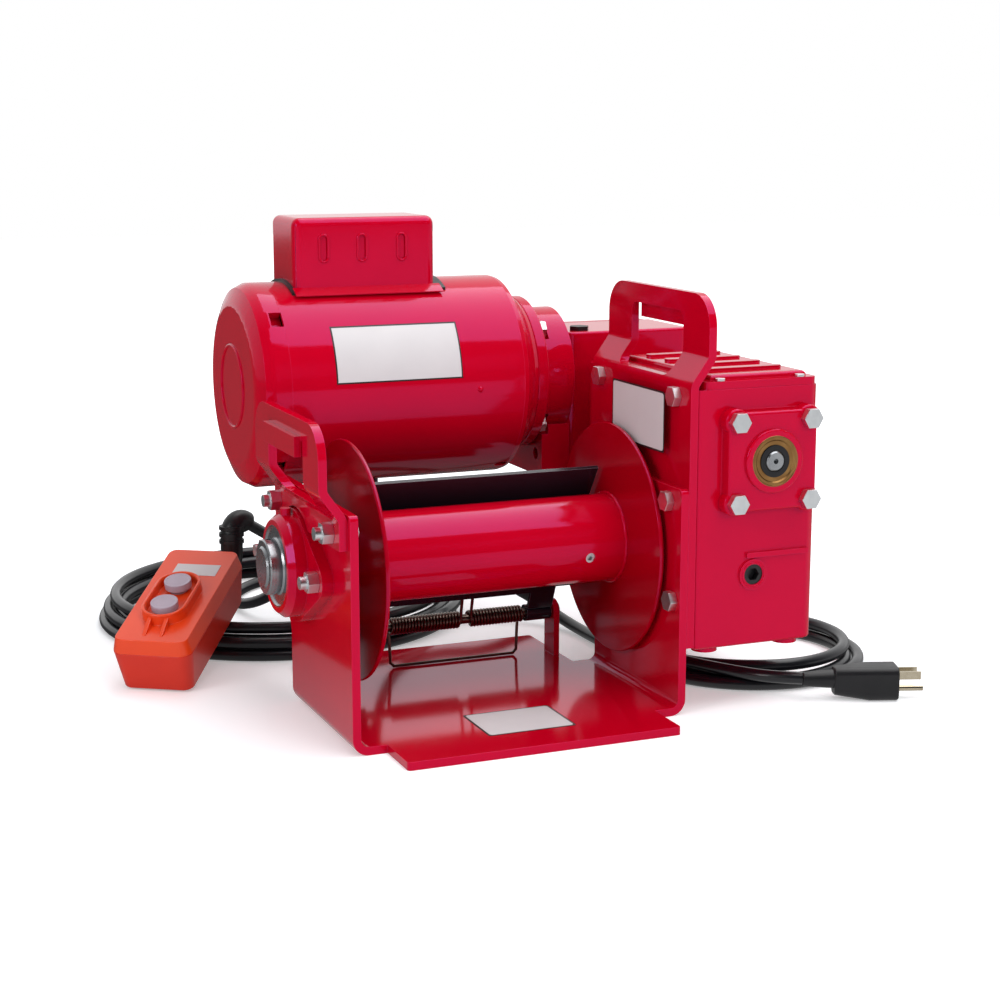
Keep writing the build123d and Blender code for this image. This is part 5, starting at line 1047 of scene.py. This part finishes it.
@dataclass
class MotorUnit:
    """Motor shell, bells, capacitor cover, terminal box and the blank film on the shell."""

    axis_y: float = 139.0
    axis_z: float = 236.7
    shell: float = 82.5
    film_x: Pair = (-86.0, 17.0)
    film_z: Pair = (246.0, 287.0)
    lip_x: Pair = (-106.5, 17.0)
    lip_z: Pair = (310.3, 315.6)
    cover_front: float = 107.0
    dimples_x: Triple = (-80.5, -48.5, -15.0)
    dimple_z: float = 347.0
    spigot_x: Pair = (-135.5, -122.3)
    spigot_radius: float = 74.3
    end_face: float = -149.0
    seat_radius: float = 33.0
    rivet_place: Pair = (33.0, 235.0)
    glands_x: Pair = (-42.0, 2.0)
    gland_y: float = 239.0
    sleeve_z: Pair = (150.0, 184.0)

    def build(self) -> None:
        """Make every outer piece of the motor."""
        for node, name, round_mm, steps in (
            ("motor_shell", "rolled_motor_shell", 0.5, 2),
            ("rear_end_bell", "rear_bell_casting", 1.0, 3),
            ("front_end_bell", "front_bell_casting", 1.0, 3),
            ("capacitor_cover", "pressed_capacitor_cover", 0.3, 2),
            ("terminal_box", "terminal_box_pressing", 0.8, 2),
        ):
            refined(node, name, RED_ENAMEL, round_mm, steps)
        for number, dimple in enumerate(self.dimples_x, 1):
            self.dimple(f"cover_dimple_{number}", dimple)
        refined("motor_bolts", "motor_flange_bolts", ZINC, 0.5)
        refined("cord_glands", "gland_nuts", PHENOLIC, 0.6)
        self.film("motor_film_border", self.film_x, self.film_z, 1.2, 0.14, VINYL_BORDER)
        self.film("motor_film", self.film_x, self.film_z, 0.0, 0.26, VINYL)
        self.film("cover_lip", self.lip_x, self.lip_z, 0.0, 1.0, RED_ENAMEL, 2.3)
        self.spigot()
        end = Vector((self.end_face, self.axis_y, self.axis_z))
        ring("bearing_rim", end, AXIS_Y, self.seat_radius, 1.3, RED_ENAMEL)
        self.rivet()
        for name, gland_x in zip(("control_sleeve", "power_sleeve"), self.glands_x):
            low, top = (Vector((gland_x, self.gland_y, height)) for height in self.sleeve_z)
            sleeve(name, 7.4, low, top, 0.76, 0.6)

    def film(
        self, name: str, span_x: Pair, span_z: Pair, margin: float, thick: float, finish: Finish,
        off: float = 0.02,
    ) -> None:
        """Wrap a thin film round the front of the shell.

        Args:
            name: piece name.
            span_x: left and right end.
            span_z: lower and upper edge.
            margin: how far it goes past its edges on each side.
            thick: thickness in millimetres.
            finish: material.
            off: how far its inside lies off the shell.
        """
        radius = self.shell + off
        clear_selection()
        bpy.ops.mesh.primitive_grid_add(x_subdivisions=12, y_subdivisions=14, size=1.0)
        piece = bpy.context.object
        low = math.asin((span_z[0] - margin - self.axis_z) / radius)
        high = math.asin((span_z[1] + margin - self.axis_z) / radius)
        left, right = span_x[0] - margin, span_x[1] + margin
        for spot in piece.data.vertices:
            angle = low + (spot.co.y + 0.5) * (high - low)
            across = left + (spot.co.x + 0.5) * (right - left)
            front = self.axis_y - radius * math.cos(angle)
            spot.co = Vector((across, front, self.axis_z + radius * math.sin(angle))) * MM
        modify(piece, "SOLIDIFY", thickness=thick * MM, offset=1.0)
        with editing(piece):
            bpy.ops.mesh.select_all(action="SELECT")
            bpy.ops.mesh.normals_make_consistent(inside=False)
        finish_piece(piece, name, finish)

    def spigot(self) -> None:
        """Add the ring that closes the bell's cast gaps from inside."""
        ends = (Vector((place, self.axis_y, self.axis_z)) for place in self.spigot_x)
        piece = tube(self.spigot_radius, self.spigot_radius - 1.6, *ends, 96)
        finish_piece(piece, "bell_spigot", RED_ENAMEL)

    def rivet(self) -> None:
        """Set the round head of one rivet in the shell's front."""
        clear_selection()
        bpy.ops.mesh.primitive_uv_sphere_add(segments=24, ring_count=12, radius=2.6 * MM)
        piece = bpy.context.object
        place = Vector((self.rivet_place[0], self.axis_y - self.shell + 0.9, self.rivet_place[1]))
        settle(piece, Matrix.Translation(place * MM))
        finish_piece(piece, "shell_rivet", RED_ENAMEL)

    def dimple(self, name: str, middle: float) -> None:
        """Lay the raised rim of one upright dimple on the capacitor cover's front.

        Args:
            name: piece name.
            middle: X of the dimple.
        """
        centre = Vector((middle, self.cover_front - 0.3, self.dimple_z))
        points = slot(centre, AXIS_Z, -AXIS_X, 3.7, 7.0, 12)
        # The enamel's painted edge highlight lightens this thin rim
        wire(name, points, 0.9, RED_ENAMEL, closed=True)


@dataclass
class PressureUnit:
    """Sprung rope pressure plate: two coils of wire on the rod, joined by a bail."""

    pivot_y: float = 70.0
    pivot_z: float = 43.0
    wire_radius: float = 1.3
    coil_radius: float = 5.9
    left_span: Pair = (-41.6, 18.2)
    right_span: Pair = (27.2, 74.0)
    bail_z: float = 7.95
    leg_foot_z: float = 30.0
    turn_steps: int = 14

    def build(self) -> None:
        """Make the plate and the springs."""
        refined("pressure_plate", "rope_pressure_plate", BLACK_ENAMEL, 0.7, 2, body=Body.PRESS)
        refined("pivot_rod", "spring_rod", SPRING_WIRE, 0.3)
        left = self.coil(self.left_span[1], self.left_span[0])
        right = self.coil(*self.right_span)
        back_y = self.pivot_y + self.coil_radius - 0.6
        bail = [
            Vector((end + inward * step, back_y, height))
            for end, inward, rows in ((self.left_span[0], 1, 1), (self.right_span[1], -1, -1))
            for step, height in ((1.3, self.leg_foot_z), (2.0, self.bail_z + 3), (5.0, self.bail_z))[::rows]
        ]
        points = left + bail + right[::-1]
        piece = wire("spring_wire", points, self.wire_radius, SPRING_WIRE)
        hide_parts("torsion_springs")
        front_y = self.pivot_y - self.coil_radius
        for name, leg_x in (("left_spring_arm", self.left_span[1]), ("right_spring_arm", self.right_span[0])):
            places = ((front_y, self.pivot_z), (front_y - 0.6, self.pivot_z + 9), (59.8, 66.0), (57.4, 72.0))
            arm = [Vector((leg_x, *place)) for place in places]
            wire(name, arm, self.wire_radius, SPRING_WIRE, body=Body.PRESS)

    def coil(self, start: float, end: float) -> list[Vector]:
        """Points of one close-wound coil.

        Args:
            start: X of its free end.
            end: X of the end that goes into the bail.

        Returns:
            Points in millimetres, from the free end to the bail.
        """
        turns = round(abs(end - start) / (2.08 * self.wire_radius))
        steps = turns * self.turn_steps
        spots = arc(
            Vector((start, self.pivot_y, self.pivot_z)), AXIS_Y, AXIS_Z, self.coil_radius, 0, 360 * turns, steps
        )
        return [spot + (end - start) * step / steps * AXIS_X for step, spot in enumerate(spots)]


@dataclass
class Pendant:
    """Two-button pendant; its own axes run along the case, across it and up through the lid."""

    corner: Triple = (-228.0, 102.0, 0.3)
    turn: float = 33.0
    tilt: float = 17.0
    lid_top: float = 46.0
    collar_top: float = 54.0
    buttons: Pair = (45.0, 79.0)
    button_radius: float = 11.0
    button_low: float = 51.2
    button_high: float = 57.4
    rim_radius: float = 17.2
    rim_reach: float = 17.0
    film_low: Pair = (106.0, -22.0)
    film_high: Pair = (124.0, 16.0)

    def place(self) -> Matrix:
        """Matrix from the pendant's own axes, in metres, to the winch's frame."""
        turn, tilt = math.radians(self.turn), math.radians(self.tilt)
        along = Vector((math.cos(tilt) * math.sin(turn), math.cos(tilt) * math.cos(turn), math.sin(tilt)))
        rise = Vector((-math.sin(tilt) * math.sin(turn), -math.sin(tilt) * math.cos(turn), math.cos(tilt)))
        across = rise.cross(along)
        turned = Matrix((along, across, rise)).transposed().to_4x4()
        return Matrix.Translation(Vector(self.corner) * MM) @ turned

    def build(self) -> None:
        """Make the case, the lid with its collar and the two buttons."""
        # The case takes the darker copy of the ABS, painted shade on its sides
        refined("pendant_shell", "pendant_case", SHADED_ORANGE_ABS, 1.6, 3)
        refined("pendant_cover", "pendant_lid", ORANGE_ABS, 1.0, 3)
        middle = sum(self.buttons) / 2
        self.rim(middle)
        self.ribs(middle - 36.0)
        self.button("lower_cap", self.buttons[0], Body.LOWER, "lower_button")
        self.button("raise_cap", self.buttons[1], Body.RAISE, "raise_button")
        film = slab((*self.film_low, self.lid_top), (*self.film_high, self.lid_top + 0.3))
        settle(film, self.place())
        bevel_edges(film, 0.1, 1)
        finish_piece(film, "pendant_film", VINYL)

    def rim(self, middle: float) -> None:
        """Lay a round bead along the top of the oval collar.

        Args:
            middle: the collar's middle along the case.
        """
        centre = Vector((middle, 0.0, self.collar_top - 0.2))
        spots = slot(centre, AXIS_X, AXIS_Y, self.rim_radius, self.rim_reach, 24)
        points = [self.place() @ (spot * MM) / MM for spot in spots]
        wire("collar_rim", points, 1.5, ORANGE_ABS, closed=True)

    def ribs(self, near: float) -> None:
        """Add the two ribs that run from the collar's near end down the lid.

        Args:
            near: place of the collar's near end along the case.
        """
        for name, across in (("left_rib", 7.0), ("right_rib", -7.0)):
            low = (near - 16.0, across - 1.6, self.lid_top - 1.5)
            rib = slab(low, (near + 4.0, across + 1.6, self.collar_top - 1.0))
            with editing(rib):
                low_end = (near - 15.0) * MM
                shape = bmesh.from_edit_mesh(rib.data)
                for spot in shape.verts:
                    if spot.co.x < low_end and spot.co.z > self.lid_top * MM:
                        spot.co.z = (self.lid_top + 0.3) * MM
                bmesh.update_edit_mesh(rib.data)
            settle(rib, self.place())
            bevel_edges(rib, 0.7, 2)
            finish_piece(rib, name, ORANGE_ABS)

    def button(self, name: str, along: float, body: Body, node: str) -> None:
        """Make one button cap with a dished top, over its stem.

        Args:
            name: piece name.
            along: its place along the case.
            body: body that it rides on.
            node: CAD node that it stands for.
        """
        low, high = (Vector((along, 0, height)) for height in (self.button_low, self.button_high))
        cap = cylinder(self.button_radius, low, high, 56)
        with editing(cap):
            pick_faces(cap, lambda middle, normal: normal.z > 0.9)
            bpy.ops.mesh.inset(thickness=1.6 * MM)
            bpy.ops.mesh.inset(thickness=0.7 * MM)
            bpy.ops.transform.translate(value=(0, 0, -0.5 * MM))
            pick_faces(cap, lambda middle, normal: normal.z < -0.9)
            bpy.ops.mesh.inset(thickness=4.0 * MM)
            bpy.ops.mesh.extrude_region_move(TRANSFORM_OT_translate={"value": (0, 0, -14.0 * MM)})
        settle(cap, self.place())
        bevel_edges(cap, 0.7, 3)
        finish_piece(cap, name, GREY_UREA, (node,), body)


def dress_cad() -> None:
    """Give every CAD node the finish of its material slot."""
    for row in frame["record"]["subparts"]:
        node = frame["nodes"][row["node"]]
        finish = TURNED_STEEL_DEEP if row["node"] in DEEP_TURNED else SLOT_FINISHES[row["material_slot"]]
        for place in node.material_slots:
            place.material = finish.build()


def main() -> None:
    """Build the sub-assemblies in order."""
    logging.basicConfig(level=logging.INFO, format="%(message)s")
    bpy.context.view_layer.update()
    Studio().build()
    dress_cad()
    for assembly in (
        PressedFrame(), RopeDrum(), BearingUnit(), GearCase(), MotorUnit(), PressureUnit(), Pendant()
    ):
        assembly.build()
    plug = Plug()
    plug.build()
    Cords().build(plug)


if __name__ == "__main__":
    main()
